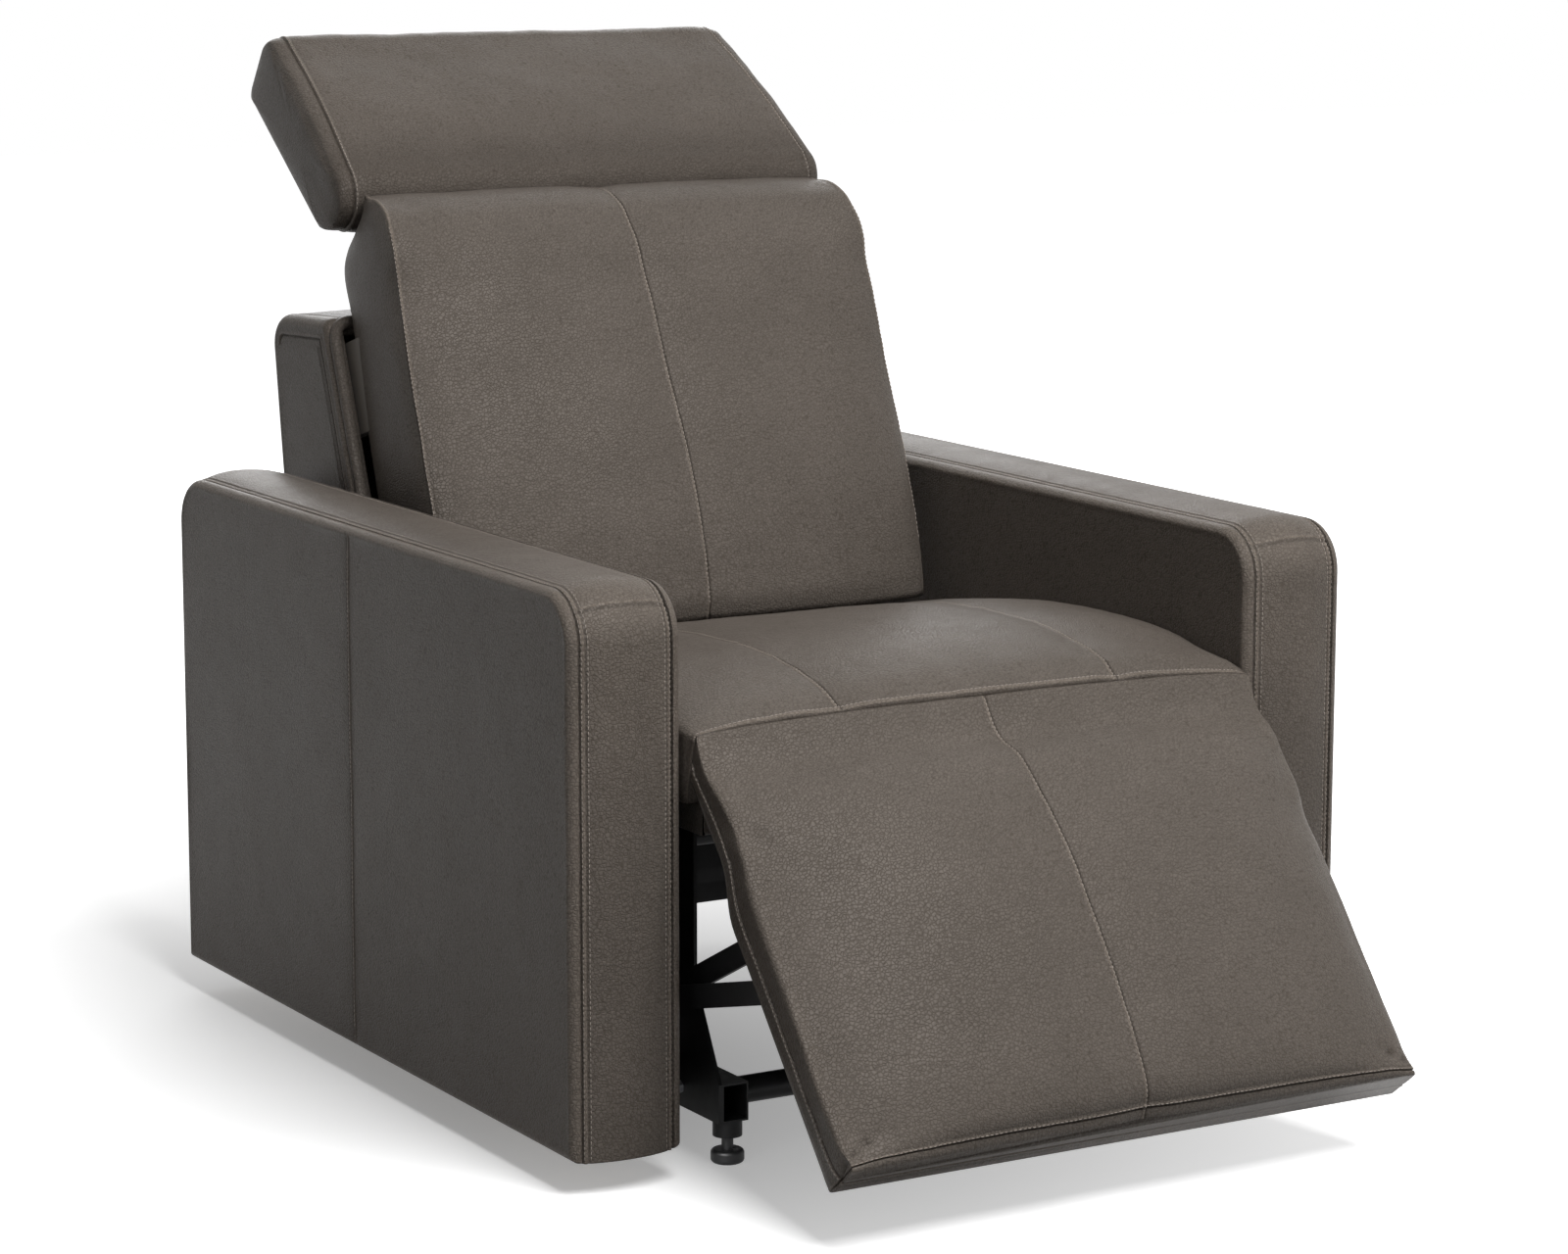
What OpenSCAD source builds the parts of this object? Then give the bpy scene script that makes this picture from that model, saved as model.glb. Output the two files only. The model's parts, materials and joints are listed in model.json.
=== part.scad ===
// Power recliner seat for a home cinema: two box arms on a steel base, a legrest that lifts on
// links, a back that reclines and a headrest that tilts.
// Millimetres. X runs across with the sitter's left at +X, Y runs to the rear, Z is up and the
// floor is at z = 0. Outlines in the side plane are [y, z] points, and y starts at the front of
// the arms. place() then moves everything so that the origin is under the middle of the seat.

/* [Arms] */
// Width over both arms
body_w = 920; // [880:10:1000]
// Width of one arm
arm_w = 124; // [116:2:140]
// Depth of an arm, front to rear
arm_d = 949; // [930:1:990]
// Height of the top of the arm above the floor
arm_top = 596; // [575:1:640]
// Gap between the bottom of the arm and the floor
arm_clear = 35; // [28:1:40]
// Radius of the arm's top corners in side view
arm_round = 52; // [35:1:70]
// Thickness of the padding on the front, top and rear of an arm
arm_pad = 22; // [18:1:30]
// Thickness of the padded side panels of an arm
arm_skin = 12; // [10:1:18]
// How far the padding of an arm crowns between its two edges
arm_crown = 8; // [4:1:12]
// Thickness of the plywood in the arms
ply_t = 12; // [9:1:15]
// Width of the posts in the arms
post_w = 38; // [30:1:45]

/* [Base] */
// Distance from an arm's inner face to the middle of the base rail beside it
rail_side = 71; // [66:1:81]
// Width of a base rail
rail_w = 30; // [25:1:34]
// Height of a base rail
rail_h = 40; // [30:1:44]
// Front end of the base rails
rail_front = 22; // [21:1:40]
// Length of the base rails
rail_len = 878; // [840:1:900]
// Wall of the steel tubes
tube_wall = 2; // [1.5:0.5:3]
// Diameter of the round front cross tube
front_tube_d = 28; // [22:1:34]
// Distance from the front end of a rail to the front cross tube
front_tube_in = 38; // [30:1:56]
// Size of the square cross bars
bar_size = 28; // [24:1:30]
// Distance from the rear end of the rails to the rear cross bar
rear_bar_in = 46; // [30:1:60]
// Distance from the end of a rail to the middle of its glide
glide_in = 16; // [14:1:30]
// Diameter of a glide's foot
glide_d = 34; // [30:1:40]
// Height of a glide's foot
glide_h = 14; // [10:1:16]
// Diameter of a glide's threaded stem
stem_d = 12; // [10:1:14]
// Diameter of the socket that a glide screws into
socket_d = 30; // [26:1:34]
// Height of that socket
socket_h = 17; // [14:1:20]
// Travel of a glide
glide_travel = 10; // [6:1:12]
// Thickness of the steel side plates
plate_t = 4; // [3:0.5:5]
// Height of the top edge of the side plates, where the seat frame sits
plate_top = 344; // [344:1:360]
// Rear end of the side plates
plate_rear = 745; // [740:1:770]

/* [Legrest links] */
// Slope of the legrest below the horizontal as it stands here
leg_slope = 50; // [45:1:55]
// Height of the point that the legrest turns about
lift_z = 439; // [439:1:445]
// Distance of that point in front of the arms
lift_front = 124; // [118:1:128]
// Distance of the front crank's pivot behind the front of the arms
front_crank_y = 110; // [105:1:115]
// Height of the crank pivots
crank_z = 322; // [318:1:324]
// Distance between the two crank pivots
crank_pitch = 220; // [215:1:230]
// Place of the front link's pivot along the legrest
front_eye_s = 180; // [176:1:190]
// Place of the rear link's pivot along the legrest
rear_eye_s = 230; // [225:1:245]
// Depth of both pivots behind the face that the cushion sits on
eye_drop = 32; // [30:1:36]
// Width of the cranks and links
link_w = 24; // [20:1:24]
// Thickness of the cranks and links
link_t = 5; // [4:0.5:5]
// Gap between neighbouring links
link_gap = 2; // [1.5:0.5:2]
// Diameter of the link pins
link_pin_d = 12; // [10:1:12]
// Diameter of the torque tube
torque_d = 25; // [22:1:28]

/* [Seat] */
// Gap between the seat cushion and an arm
seat_side_gap = 3; // [3:1:8]
// Height of the seat frame's timber
seat_rail_h = 32; // [28:1:36]
// Width of the seat frame's timber
seat_rail_w = 40; // [36:1:44]
// Rear end of the seat frame
seat_frame_rear = 548; // [540:1:560]
// Width of a webbing strap
strap_w = 50; // [40:1:60]
// Thickness of a webbing strap
strap_t = 2; // [1.5:0.5:3]
// Number of webbing straps
strap_count = 5; // [4:1:6]
// Rear end of the seat cushion
seat_rear = 530; // [525:1:532]
// Height of the crown of the seat
seat_crown_z = 499; // [492:1:505]
// Height of the cross seam between seat and legrest
seam_z = 462; // [458:1:466]
// Distance of the cross seam in front of the arms
seam_front = 19; // [15:1:24]

/* [Legrest] */
// Length of the legrest's upholstery from the bend of the seat to the tip
leg_len = 464; // [450:1:475]
// Place along the legrest where the bridging pad ends and the legrest cushion starts
bridge_len = 162; // [158:1:166]
// Thickness of the legrest's padding at its crown
leg_thick = 103; // [95:1:108]
// Gap between the legrest and the plane of an arm's inner face
leg_side = 14; // [10:1:21]
// Thickness of the legrest board
leg_board_t = 12; // [10:1:15]

/* [Back] */
// Distance of the back's pivot behind the front of the arms
back_pivot_y = 705; // [700:1:710]
// Height of the back's pivot
back_pivot_z = 290; // [285:1:295]
// Diameter of the back's pivot shaft
back_shaft_d = 20; // [18:1:22]
// Rake of the rear of the back cushion from the vertical
back_rake = 16.2; // [15:0.1:18]
// Rear lower corner of the back cushion, behind the front of the arms
back_foot_y = 682; // [680:1:690]
// Height of the bottom of the back cushion
back_foot_z = 449; // [447:1:455]
// Length of the back cushion up its rear face
back_len = 455; // [445:1:460]
// Thickness of the back cushion at the lumbar crown
back_thick = 151; // [140:1:153]
// Gap between the back cushion and an arm
back_side = 24; // [18:1:36]
// Thickness of the board behind the back cushion
back_board_t = 18; // [15:1:20]
// Gap between the outer back shell and an arm
shell_side = 16; // [12:1:18]
// Thickness of the padded walls of the outer back shell
shell_wall = 20; // [16:1:20]
// Height of the bottom of the outer back shell
shell_low_z = 200; // [195:1:210]
// Bottom front corner of the shell
shell_low_front_y = 700; // [695:1:705]
// Bottom rear corner of the shell
shell_low_rear_y = 928; // [920:1:932]
// Knee in the front edge of the shell, behind the front of the arms
shell_knee_y = 710; // [708:1:715]
// Height of that knee
shell_knee_z = 409; // [400:1:415]
// Top front corner of the shell
shell_top_front_y = 849; // [845:1:855]
// Height of the top front corner of the shell
shell_top_front_z = 775; // [765:1:780]
// Top rear corner of the shell
shell_top_rear_y = 1004; // [995:1:1008]
// Height of the top rear corner of the shell
shell_top_rear_z = 768; // [760:1:775]

/* [Headrest] */
// Distance of the headrest's pivot past the end of the back cushion, along its rear face
head_rise = 38.72; // [36:0.01:44]
// Distance of the headrest's pivot behind that face
head_behind = 39.84; // [38:0.01:42]
// Tilt of the headrest from the vertical as it stands here
head_tilt = 54; // [50:1:56]
// Radius of the rolled lower end of the headrest
head_roll_r = 42; // [38:1:44]
// Length of the headrest from its pivot to its top
head_len = 262; // [250:1:270]
// Thickness of the headrest at its top
head_top_t = 98; // [90:1:104]
// Gap between the headrest's lower end and the plane of an arm's inner face
head_side_gap = 36; // [32:1:46]
// How much narrower the headrest is at its top, on each side
head_taper = 16; // [0:1:20]
// Thickness of the headrest board
head_board_t = 12; // [9:1:12]
// Distance from the side of the headrest to its hinge
head_hinge_in = 148; // [130:1:160]
// Diameter of the headrest's hinge pins
head_pin_d = 10; // [8:1:12]

/* [Controls] */
// Distance of the key panel's middle behind the front of the arms
panel_y = 285; // [240:1:320]
// Distance of the key panel's middle below the top of the arm
panel_drop = 56; // [50:1:70]
// Length of the key panel
panel_len = 104; // [96:1:120]
// Height of the key panel
panel_h = 30; // [26:1:36]
// Diameter of a button
button_d = 14; // [12:1:16]
// Distance between the buttons
button_pitch = 24; // [22:1:24]
// Travel of a button
button_travel = 1.5; // [1:0.1:2]

/* [Hidden] */
$fn = 48;

// Overrun of every cut past the face that it goes through
over = 1;
// Running clearance of a shaft or pin in its hole, on the radius
run_gap = 0.05;
// Clearance at the pivots where a closed linkage is opened, on the radius
open_gap = 0.5;
// Clearance between soft solids and their neighbours
soft_gap = 0.3;

// Leather, black steel, timber and the other colours of the pieces
leather = [0.40, 0.36, 0.33];
steel_black = [0.06, 0.06, 0.065];
steel_bright = [0.62, 0.63, 0.65];
timber = [0.72, 0.58, 0.40];
webbing = [0.16, 0.16, 0.17];
plastic_black = [0.08, 0.08, 0.085];

// Arms: half width to the outer and inner faces, and the planes between the layers
arm_out = body_w / 2;
arm_in = arm_out - arm_w;
arm_core_out = arm_out - arm_skin;
arm_core_in = arm_in + arm_skin;

// Half widths of what stands between the arms
rail_x = arm_in - rail_side;
leg_half_w = arm_in - leg_side;
back_half_w = arm_in - back_side;
shell_half_w = arm_in - shell_side;
head_half_w = arm_in - head_side_gap;
head_hinge_x = head_half_w - head_hinge_in;

// Layers across the seat, from the side plate outwards
plate_x = rail_x + rail_w / 2;
crank_x = plate_x + plate_t + link_gap;
front_link_x = crank_x + link_t + link_gap;
eye_plate_x = front_link_x + link_t + link_gap;
rear_link_x = eye_plate_x + link_t + link_gap;

// Base heights
rail_z = glide_h + socket_h + glide_h;
rail_top = rail_z + rail_h;
rail_rear = rail_front + rail_len;

// Where the seat frame and its cushion lie
seat_frame_top = plate_top + seat_rail_h;
seat_z = seat_frame_top + strap_t + soft_gap;
seat_half_w = arm_in - seat_side_gap;

// Legrest: a point s along the panel and t in front of the face behind its cushion
leg_face_drop = 8;
leg_hinge_y = 10;
leg_hinge_z = 415;
leg_tip_pad = 24;
tip_share = 0.45;
leg_face_t = -leg_face_drop;
leg_board_end = leg_len - leg_tip_pad;
function leg_pt(s, t) = [
    leg_hinge_y - s * cos(leg_slope) - t * sin(leg_slope),
    leg_hinge_z - s * sin(leg_slope) + t * cos(leg_slope)
];
lift_pivot = [-lift_front, lift_z];
front_eye = leg_pt(front_eye_s, leg_face_t - eye_drop);
rear_eye = leg_pt(rear_eye_s, leg_face_t - eye_drop);
front_crank_pivot = [front_crank_y, crank_z];
rear_crank_pivot = [front_crank_y + crank_pitch, crank_z];
front_crank_end = front_crank_pivot + front_eye - lift_pivot;
rear_crank_end = rear_crank_pivot + rear_eye - lift_pivot;

// Back: a point u up the rear face of the cushion and t in front of it
function back_pt(u, t) = [
    back_foot_y + u * sin(back_rake) - t * cos(back_rake),
    back_foot_z + u * cos(back_rake) + t * sin(back_rake)
];
back_pivot = [back_pivot_y, back_pivot_z];
head_pivot = back_pt(back_len + head_rise, -head_behind);
shell_in = shell_half_w - shell_wall;
shell_outline = [
    [shell_low_front_y, shell_low_z], [shell_knee_y, shell_knee_z],
    [shell_top_front_y, shell_top_front_z], [shell_top_rear_y, shell_top_rear_z],
    [shell_low_rear_y, shell_low_z]
];

// Headrest: a point a along the face from the pivot and b in front of the pivot
function head_pt(a, b) = [
    head_pivot[0] + a * sin(head_tilt) - b * cos(head_tilt),
    head_pivot[1] + a * cos(head_tilt) + b * sin(head_tilt)
];

// The whole chair reaches from the tip of the legrest to the top of the headrest, and the origin
// lies under the middle of that length
chair_front = leg_pt(leg_len, leg_thick * tip_share)[0];
chair_rear = head_pt(head_len, head_roll_r - head_top_t)[0];
origin_y = (chair_front + chair_rear) / 2;

// Moves a side-plane drawing to its place
module place() {
    translate([0, -origin_y, 0]) children();
}

// Extrudes a drawing of the side plane from x0 to x1
module side_slab(x0, x1) {
    translate([x0, 0, 0]) rotate([90, 0, 90]) linear_extrude(x1 - x0) children();
}

// The same slab on both sides of the seat
module both_slabs(x0, x1) {
    side_slab(x0, x1) children();
    side_slab(-x1, -x0) children();
}

// Slab on the sitter's right (side = -1) or left (side = 1), from the distance x0 to x1
module hand_slab(side, x0, x1) {
    side_slab(side > 0 ? x0 : -x1, side > 0 ? x1 : -x0) children();
}

// Bar of width w with round ends that follows a path of two or three points of the side plane
bar_steps = 12;
function turn_of(p, q) = atan2(q[1] - p[1], q[0] - p[0]);
function bar_end(p, a, w) = [for (k = [0 : bar_steps]) let (t = a + 180 * k / bar_steps)
    p + w / 2 * [cos(t), sin(t)]];
function bar_knees(path, w, side) = [for (i = [1 : 1 : len(path) - 2])
    let (a = turn_of(path[i - 1], path[i]), b = turn_of(path[i], path[i + 1]))
    path[i] + side * w / 2 / cos((b - a) / 2) * [-sin((a + b) / 2), cos((a + b) / 2)]];
module bar_2d(path, w) {
    n = len(path) - 1;
    polygon(concat(
        bar_end(path[n], turn_of(path[n - 1], path[n]) - 90, w), bar_knees(path, w, 1),
        bar_end(path[0], turn_of(path[0], path[1]) + 90, w), bar_knees(path, w, -1)));
}

// Round hole of the side plane
module hole_2d(p, d) {
    translate(p) circle(d = d);
}

// Rod across the seat at a point of the side plane
module cross_rod(p, d, x0, x1) {
    side_slab(x0, x1) translate(p) circle(d = d);
}

// Box from its low and high corners
module span_box(lo, hi) {
    translate(lo) cube(hi - lo);
}

// Soft forms are lofts of triangles. Each ring runs round one slice of the cushion: two corners
// on the flat back, the drawn-in sides, and the crowned face with its sewn channels.

// Places across the crowned face, as shares of the half width, and how high the sides turn over
face_shares = [1, 0.985, 0.955, 0.9, 0.8, 0.66, 0.53, 0.5, 0.47, 0.3, 0.12, 0.035, 0];
// Places up the drawn-in side, as shares of its height, and how far each is drawn in
side_shares = [[0.12, 0.6], [0.35, 0.15], [0.7, 0]];

// Height of the face at a share x of the half width, from its edge e to 1 at the crown
function crown_share(x, e) = e + (1 - e) * pow(1 - pow(abs(x), 3), 0.6);
// A sewn channel cuts a narrow groove at each of its places
channel_w_share = 0.034;
function channel_share(x, seams, w) =
    max([0, for (s = seams) max(0, 1 - abs(abs(x) - s) / w)]);

// One ring as [x, h] pairs: x as a length, h as a share of the slice's thickness
function soft_ring(half_w, draw, e, seams, groove) = concat(
    [[-half_w + draw, 0], [half_w - draw, 0]],
    [for (p = side_shares) [half_w - draw * p[1], e * p[0]]],
    [for (x = face_shares)
        [half_w * x, crown_share(x, e) - groove * channel_share(x, seams, channel_w_share)]],
    [for (i = [len(face_shares) - 2 : -1 : 0])
        [-half_w * face_shares[i],
         crown_share(face_shares[i], e)
             - groove * channel_share(face_shares[i], seams, channel_w_share)]],
    [for (i = [len(side_shares) - 1 : -1 : 0])
        [-half_w + draw * side_shares[i][1], e * side_shares[i][0]]]
);

// Triangles between the rings and over both ends, whose middles are the two last points
function loft_faces(rings, m) = concat(
    [for (r = [0 : rings - 2], i = [0 : m - 1]) let (j = (i + 1) % m)
        [r * m + i, (r + 1) * m + j, r * m + j]],
    [for (r = [0 : rings - 2], i = [0 : m - 1]) let (j = (i + 1) % m)
        [r * m + i, (r + 1) * m + i, (r + 1) * m + j]],
    [for (i = [0 : m - 1]) [i, (i + 1) % m, rings * m]],
    [for (i = [0 : m - 1]) let (b = (rings - 1) * m)
        [b + (i + 1) % m, b + i, rings * m + 1]]
);

// Cushion between a back line and a crown line of the side plane. slices holds, for each slice,
// its back point, its crown point, its half width and its edge share.
module soft_form(slices, draw, seams, groove) {
    rings = [for (s = slices) let (thick = norm(s[1] - s[0]))
        [for (p = soft_ring(s[2], draw, s[3], seams, groove / thick))
            [p[0], s[0][0] + (s[1][0] - s[0][0]) * p[1], s[0][1] + (s[1][1] - s[0][1]) * p[1]]]];
    m = len(rings[0]);
    mids = [for (s = [slices[0], slices[len(slices) - 1]])
        [0, (s[0][0] + s[1][0]) / 2, (s[0][1] + s[1][1]) / 2]];
    polyhedron(concat([for (r = rings) each r], mids), loft_faces(len(rings), m));
}

// Arms

// Side view of an arm, drawn in by the given amount
module arm_outline(inset) {
    lo = arm_clear + inset;
    hi = arm_top - inset;
    r = arm_round - inset;
    front = inset;
    rear = arm_d - inset;
    translate([front + r, hi - r]) circle(r = r);
    translate([rear - r, hi - r]) circle(r = r);
    translate([front, lo]) square([rear - front, hi - lo - r]);
    translate([front + r, lo]) square([rear - front - 2 * r, hi - lo]);
}

// Section of the padding band that runs over the arm between its two side panels: x across,
// y outwards from the arm's outline, crowned in the middle
module arm_band() {
    half = (arm_core_out - arm_core_in) / 2;
    r = (half * half + arm_crown * arm_crown) / (2 * arm_crown);
    intersection() {
        translate([-half, -arm_pad]) square([2 * half, arm_pad + arm_crown]);
        translate([0, arm_crown - r]) circle(r = r, $fn = 96);
    }
}
// Quarter turn of the band about the middle of a top corner, from the given angle
module arm_band_turn(angle) {
    rotate([90, 0, 90]) rotate(angle) rotate_extrude(angle = 90)
        translate([arm_round, 0]) rotate(-90) arm_band();
}

corner_z = arm_top - arm_round;
arm_mid = (arm_core_in + arm_core_out) / 2;

// Timber frame of an arm: two plywood sides with posts and rails between them
module arm_frame(side) {
    low = arm_clear;
    high = arm_top - arm_pad;
    front = arm_pad;
    rear = arm_d - arm_pad;
    r = arm_round - arm_pad;
    color(timber) place() {
        for (x = [arm_core_in, arm_core_out - ply_t])
            hand_slab(side, x, x + ply_t) intersection() {
                arm_outline(arm_pad);
                translate([front, low + arm_pad]) square([rear - front, high - low - arm_pad]);
            }
        hand_slab(side, arm_core_in + ply_t, arm_core_out - ply_t) {
            translate([front, low + arm_pad]) square([post_w, high - low - arm_pad - r]);
            translate([rear - post_w, low + arm_pad]) square([post_w, high - low - arm_pad - r]);
            translate([(arm_d - post_w) / 2, low + arm_pad])
                square([post_w, high - low - arm_pad - ply_t]);
            translate([front + post_w, low + arm_pad])
                square([(arm_d - post_w) / 2 - front - post_w, ply_t]);
            translate([(arm_d + post_w) / 2, low + arm_pad])
                square([rear - post_w - (arm_d + post_w) / 2, ply_t]);
            translate([front + r, high - ply_t]) square([rear - front - 2 * r, ply_t]);
        }
        hand_slab(side, arm_core_in, arm_core_out)
            translate([arm_pad, arm_clear]) square([rear - front, arm_pad]);
    }
}

// Padded outer panel of an arm
module arm_outer_panel(side) {
    color(leather) place() hand_slab(side, arm_core_out, arm_out) arm_outline(0);
}

// Padded inner panel of an arm. The right one has a pocket behind the key panel.
pocket_rim = 2;
pocket_floor = 2;
pocket_len = panel_len - button_d;
pocket_h = button_d + 2 * pocket_rim;
pocket_depth = arm_skin - pocket_floor;
module arm_inner_panel(side) {
    color(leather) place() difference() {
        hand_slab(side, arm_in, arm_core_in) arm_outline(0);
        if (side < 0) translate([-arm_in - pocket_depth, panel_y - pocket_len / 2,
                arm_top - panel_drop - pocket_h / 2])
            cube([pocket_depth + over, pocket_len, pocket_h]);
    }
}

// Padding on the front, top and rear of an arm, crowned between the two panels
module arm_front_pad(side) {
    color(leather) place() translate([side * arm_mid, 0, arm_clear]) rotate(180)
        linear_extrude(corner_z - arm_clear) arm_band();
}
module arm_top_pad(side) {
    color(leather) place() translate([side * arm_mid, 0, 0]) {
        translate([0, arm_d - arm_round, arm_top]) rotate([90, 0, 0])
            linear_extrude(arm_d - 2 * arm_round) arm_band();
        translate([0, arm_round, corner_z]) arm_band_turn(90);
        translate([0, arm_d - arm_round, corner_z]) arm_band_turn(0);
    }
}
module arm_rear_pad(side) {
    color(leather) place() translate([side * arm_mid, arm_d, arm_clear])
        linear_extrude(corner_z - arm_clear) arm_band();
}

// Base

// Rectangular tube along Y, drilled for the bolts that hold the side plate
bolt_d = 8;
bolt_head_d = 14;
bolt_head_h = 5;
bolt_ins = [78, 230, 380];
bolt_ys = [for (d = bolt_ins) rail_front + d];
module bolt_holes() {
    for (y = bolt_ys) hole_2d([y, rail_z + rail_h / 2], bolt_d + 2 * run_gap);
}
module base_rail(side) {
    x0 = side * rail_x - rail_w / 2;
    difference() {
        span_box([x0, rail_front, rail_z], [x0 + rail_w, rail_rear, rail_top]);
        span_box([x0 + tube_wall, rail_front - over, rail_z + tube_wall],
            [x0 + rail_w - tube_wall, rail_rear + over, rail_top - tube_wall]);
        side_slab(x0 - over, x0 + rail_w + over) bolt_holes();
    }
}
module base_rails() {
    color(steel_black) place() for (side = [-1, 1]) base_rail(side);
}

rail_in = rail_x - rail_w / 2;

// Bolts through the rails and side plates, with hexagon heads inside and nuts outside
module frame_bolts() {
    color(steel_bright) place() for (y = bolt_ys, side = [-1, 1])
        translate([0, y, rail_z + rail_h / 2]) rotate([0, 90 * side, 0]) {
            translate([0, 0, rail_in]) cylinder(d = bolt_d, h = rail_w + plate_t + bolt_head_h);
            for (x = [rail_in - bolt_head_h, plate_x + plate_t])
                translate([0, 0, x]) cylinder(d = bolt_head_d, h = bolt_head_h, $fn = 6);
        }
}

front_tube_y = rail_front + front_tube_in;
rear_bar_y = rail_rear - rear_bar_in - bar_size;
bar_z = rail_z + (rail_h - bar_size) / 2;

// Round tube between the rails at the front
module front_cross_tube() {
    p = [front_tube_y, rail_z + rail_h / 2];
    color(steel_black) place() side_slab(-rail_in, rail_in) difference() {
        hole_2d(p, front_tube_d);
        hole_2d(p, front_tube_d - 2 * tube_wall);
    }
}

// Square tube across the seat between the faces at +-half, with its front low edge at [y, z]
module square_bar(half, y, z) {
    side_slab(-half, half) translate([y, z]) difference() {
        square(bar_size);
        translate([tube_wall, tube_wall]) square(bar_size - 2 * tube_wall);
    }
}
module rear_cross_bar() {
    color(steel_black) place() square_bar(rail_in, rear_bar_y, bar_z);
}

glide_ys = [rail_front + glide_in, rail_rear - glide_in];

// Threaded sockets under the rails, one for each glide
module foot_sockets() {
    color(steel_black) place() for (side = [-1, 1], y = glide_ys)
        translate([side * rail_x, y, rail_z - socket_h]) difference() {
            cylinder(d = socket_d, h = socket_h);
            translate([0, 0, -over]) cylinder(r = stem_d / 2 + run_gap, h = socket_h + 2 * over);
        }
}

// Levelling glide: a foot with rounded edges on a stem
glide_edge = 4;
module glide(side, y) {
    color(plastic_black) place() translate([side * rail_x, y, 0]) {
        rotate_extrude() {
            square([glide_d / 2 - glide_edge, glide_h]);
            translate([0, glide_edge]) square([glide_d / 2, glide_h - 2 * glide_edge]);
            for (z = [glide_edge, glide_h - glide_edge])
                translate([glide_d / 2 - glide_edge, z]) circle(r = glide_edge);
        }
        cylinder(d = stem_d, h = rail_z - over);
    }
}

// Side plates: they stand on the outer faces of the rails and carry the pivots
plate_shoulder = 50;
plate_waist = 95;
module side_plate_2d() {
    shoulder_y = rail_front + plate_shoulder;
    waist_y = rear_crank_pivot[0] + plate_waist;
    difference() {
        polygon([
            [rail_front, rail_z], [rail_front, rail_top],
            [shoulder_y, rail_top + plate_waist], [shoulder_y, plate_top],
            [plate_rear, plate_top], [plate_rear, back_pivot_z - rail_h],
            [waist_y, rail_top + plate_waist], [waist_y, rail_z]
        ]);
        hole_2d(front_crank_pivot, torque_d + 2 * run_gap);
        hole_2d(rear_crank_pivot, link_pin_d + 2 * run_gap);
        hole_2d(back_pivot, back_shaft_d + 2 * run_gap);
        bolt_holes();
    }
}
module side_plates() {
    color(steel_black) place() both_slabs(plate_x, plate_x + plate_t) side_plate_2d();
}

// Channel brackets from the rails out to the arms
bracket_len = 60;
bracket_h = 28;
bracket_ins = [130, 540];
bracket_ys = [for (d = bracket_ins) rail_front + d];
module arm_brackets() {
    color(steel_black) place() for (y = bracket_ys, side = [-1, 1])
        hand_slab(side, y < plate_rear / 2 ? plate_x + plate_t : plate_x, arm_in)
            translate([y, rail_z]) difference() {
                square([bracket_len, bracket_h]);
                translate([plate_t, plate_t]) square([bracket_len - 2 * plate_t, bracket_h]);
            }
}

// Cross bars between the side plates, for the gear motor and the actuator
motor_bar_back = 50;
motor_bar_drop = 52;
motor_bar_y = front_crank_y + motor_bar_back;
motor_bar_z = crank_z - motor_bar_drop;
module motor_cross_bar() {
    color(steel_black) place() square_bar(plate_x, motor_bar_y, motor_bar_z);
}

// Gear motor on the torque tube: a worm gearbox and a motor beside it
gear_half_w = 45;
gear_front = 34;
gear_low = 66;
gear_high = 20;
motor_d = 56;
motor_len = 130;
motor_drop = 50;
motor_back = 16;
module legrest_gear_motor() {
    color(plastic_black) place() {
        side_slab(-gear_half_w, gear_half_w) difference() {
            translate([front_crank_y - gear_front, crank_z - gear_low])
                square([motor_bar_y - front_crank_y + gear_front, gear_low + gear_high]);
            hole_2d(front_crank_pivot, torque_d + 2 * run_gap);
        }
        side_slab(gear_half_w, gear_half_w + motor_len)
            translate([front_crank_y + motor_back - motor_d / 2 + plate_t, crank_z - motor_drop])
                circle(d = motor_d);
    }
}

// Linear actuator of the back: its housing lies along Y, with the rod to the rear
lever_r = 60;
recline_half = 16;
back_eye = back_pivot + [lever_r * sin(recline_half), -lever_r * cos(recline_half)];
rod_z = back_pivot_z - lever_r * (1 + cos(recline_half)) / 2;
actuator_bar_y = rear_crank_pivot[0] - bar_size;
housing_d = 44;
housing_len = 200;
rod_d = 18;
eye_half_w = 9;
eye_d = 26;
back_pin_d = 10;
eye_gap = 1.6;
foot_block = 40;
module actuator_cross_bar() {
    color(steel_black) place() square_bar(plate_x, actuator_bar_y, rod_z - bar_size / 2);
}
housing_y = actuator_bar_y + bar_size;
module back_actuator_body() {
    color(plastic_black) place() {
        translate([-foot_block / 2, housing_y, rod_z - foot_block / 2]) cube(foot_block);
        translate([0, housing_y + foot_block, rod_z]) rotate([-90, 0, 0]) difference() {
            cylinder(d = housing_d, h = housing_len);
            translate([0, 0, tube_wall]) cylinder(r = rod_d / 2 + run_gap, h = housing_len);
        }
        translate([0, housing_y + foot_block + housing_d / 2, rod_z - rod_d])
            mirror([0, 0, 1]) cylinder(d = housing_d, h = motor_d);
    }
}
module back_actuator_rod() {
    color(steel_bright) place() {
        difference() {
            translate([0, housing_y + foot_block + housing_d, rod_z]) rotate([-90, 0, 0])
                cylinder(d = rod_d, h = back_eye[0] - housing_y - foot_block - housing_d);
            cross_rod([back_eye[0], rod_z], eye_d - over, -eye_d, eye_d);
        }
        side_slab(-eye_half_w, eye_half_w) difference() {
            hole_2d([back_eye[0], rod_z], eye_d);
            hole_2d([back_eye[0], rod_z], back_pin_d + 2 * eye_gap);
        }
    }
}

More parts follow.
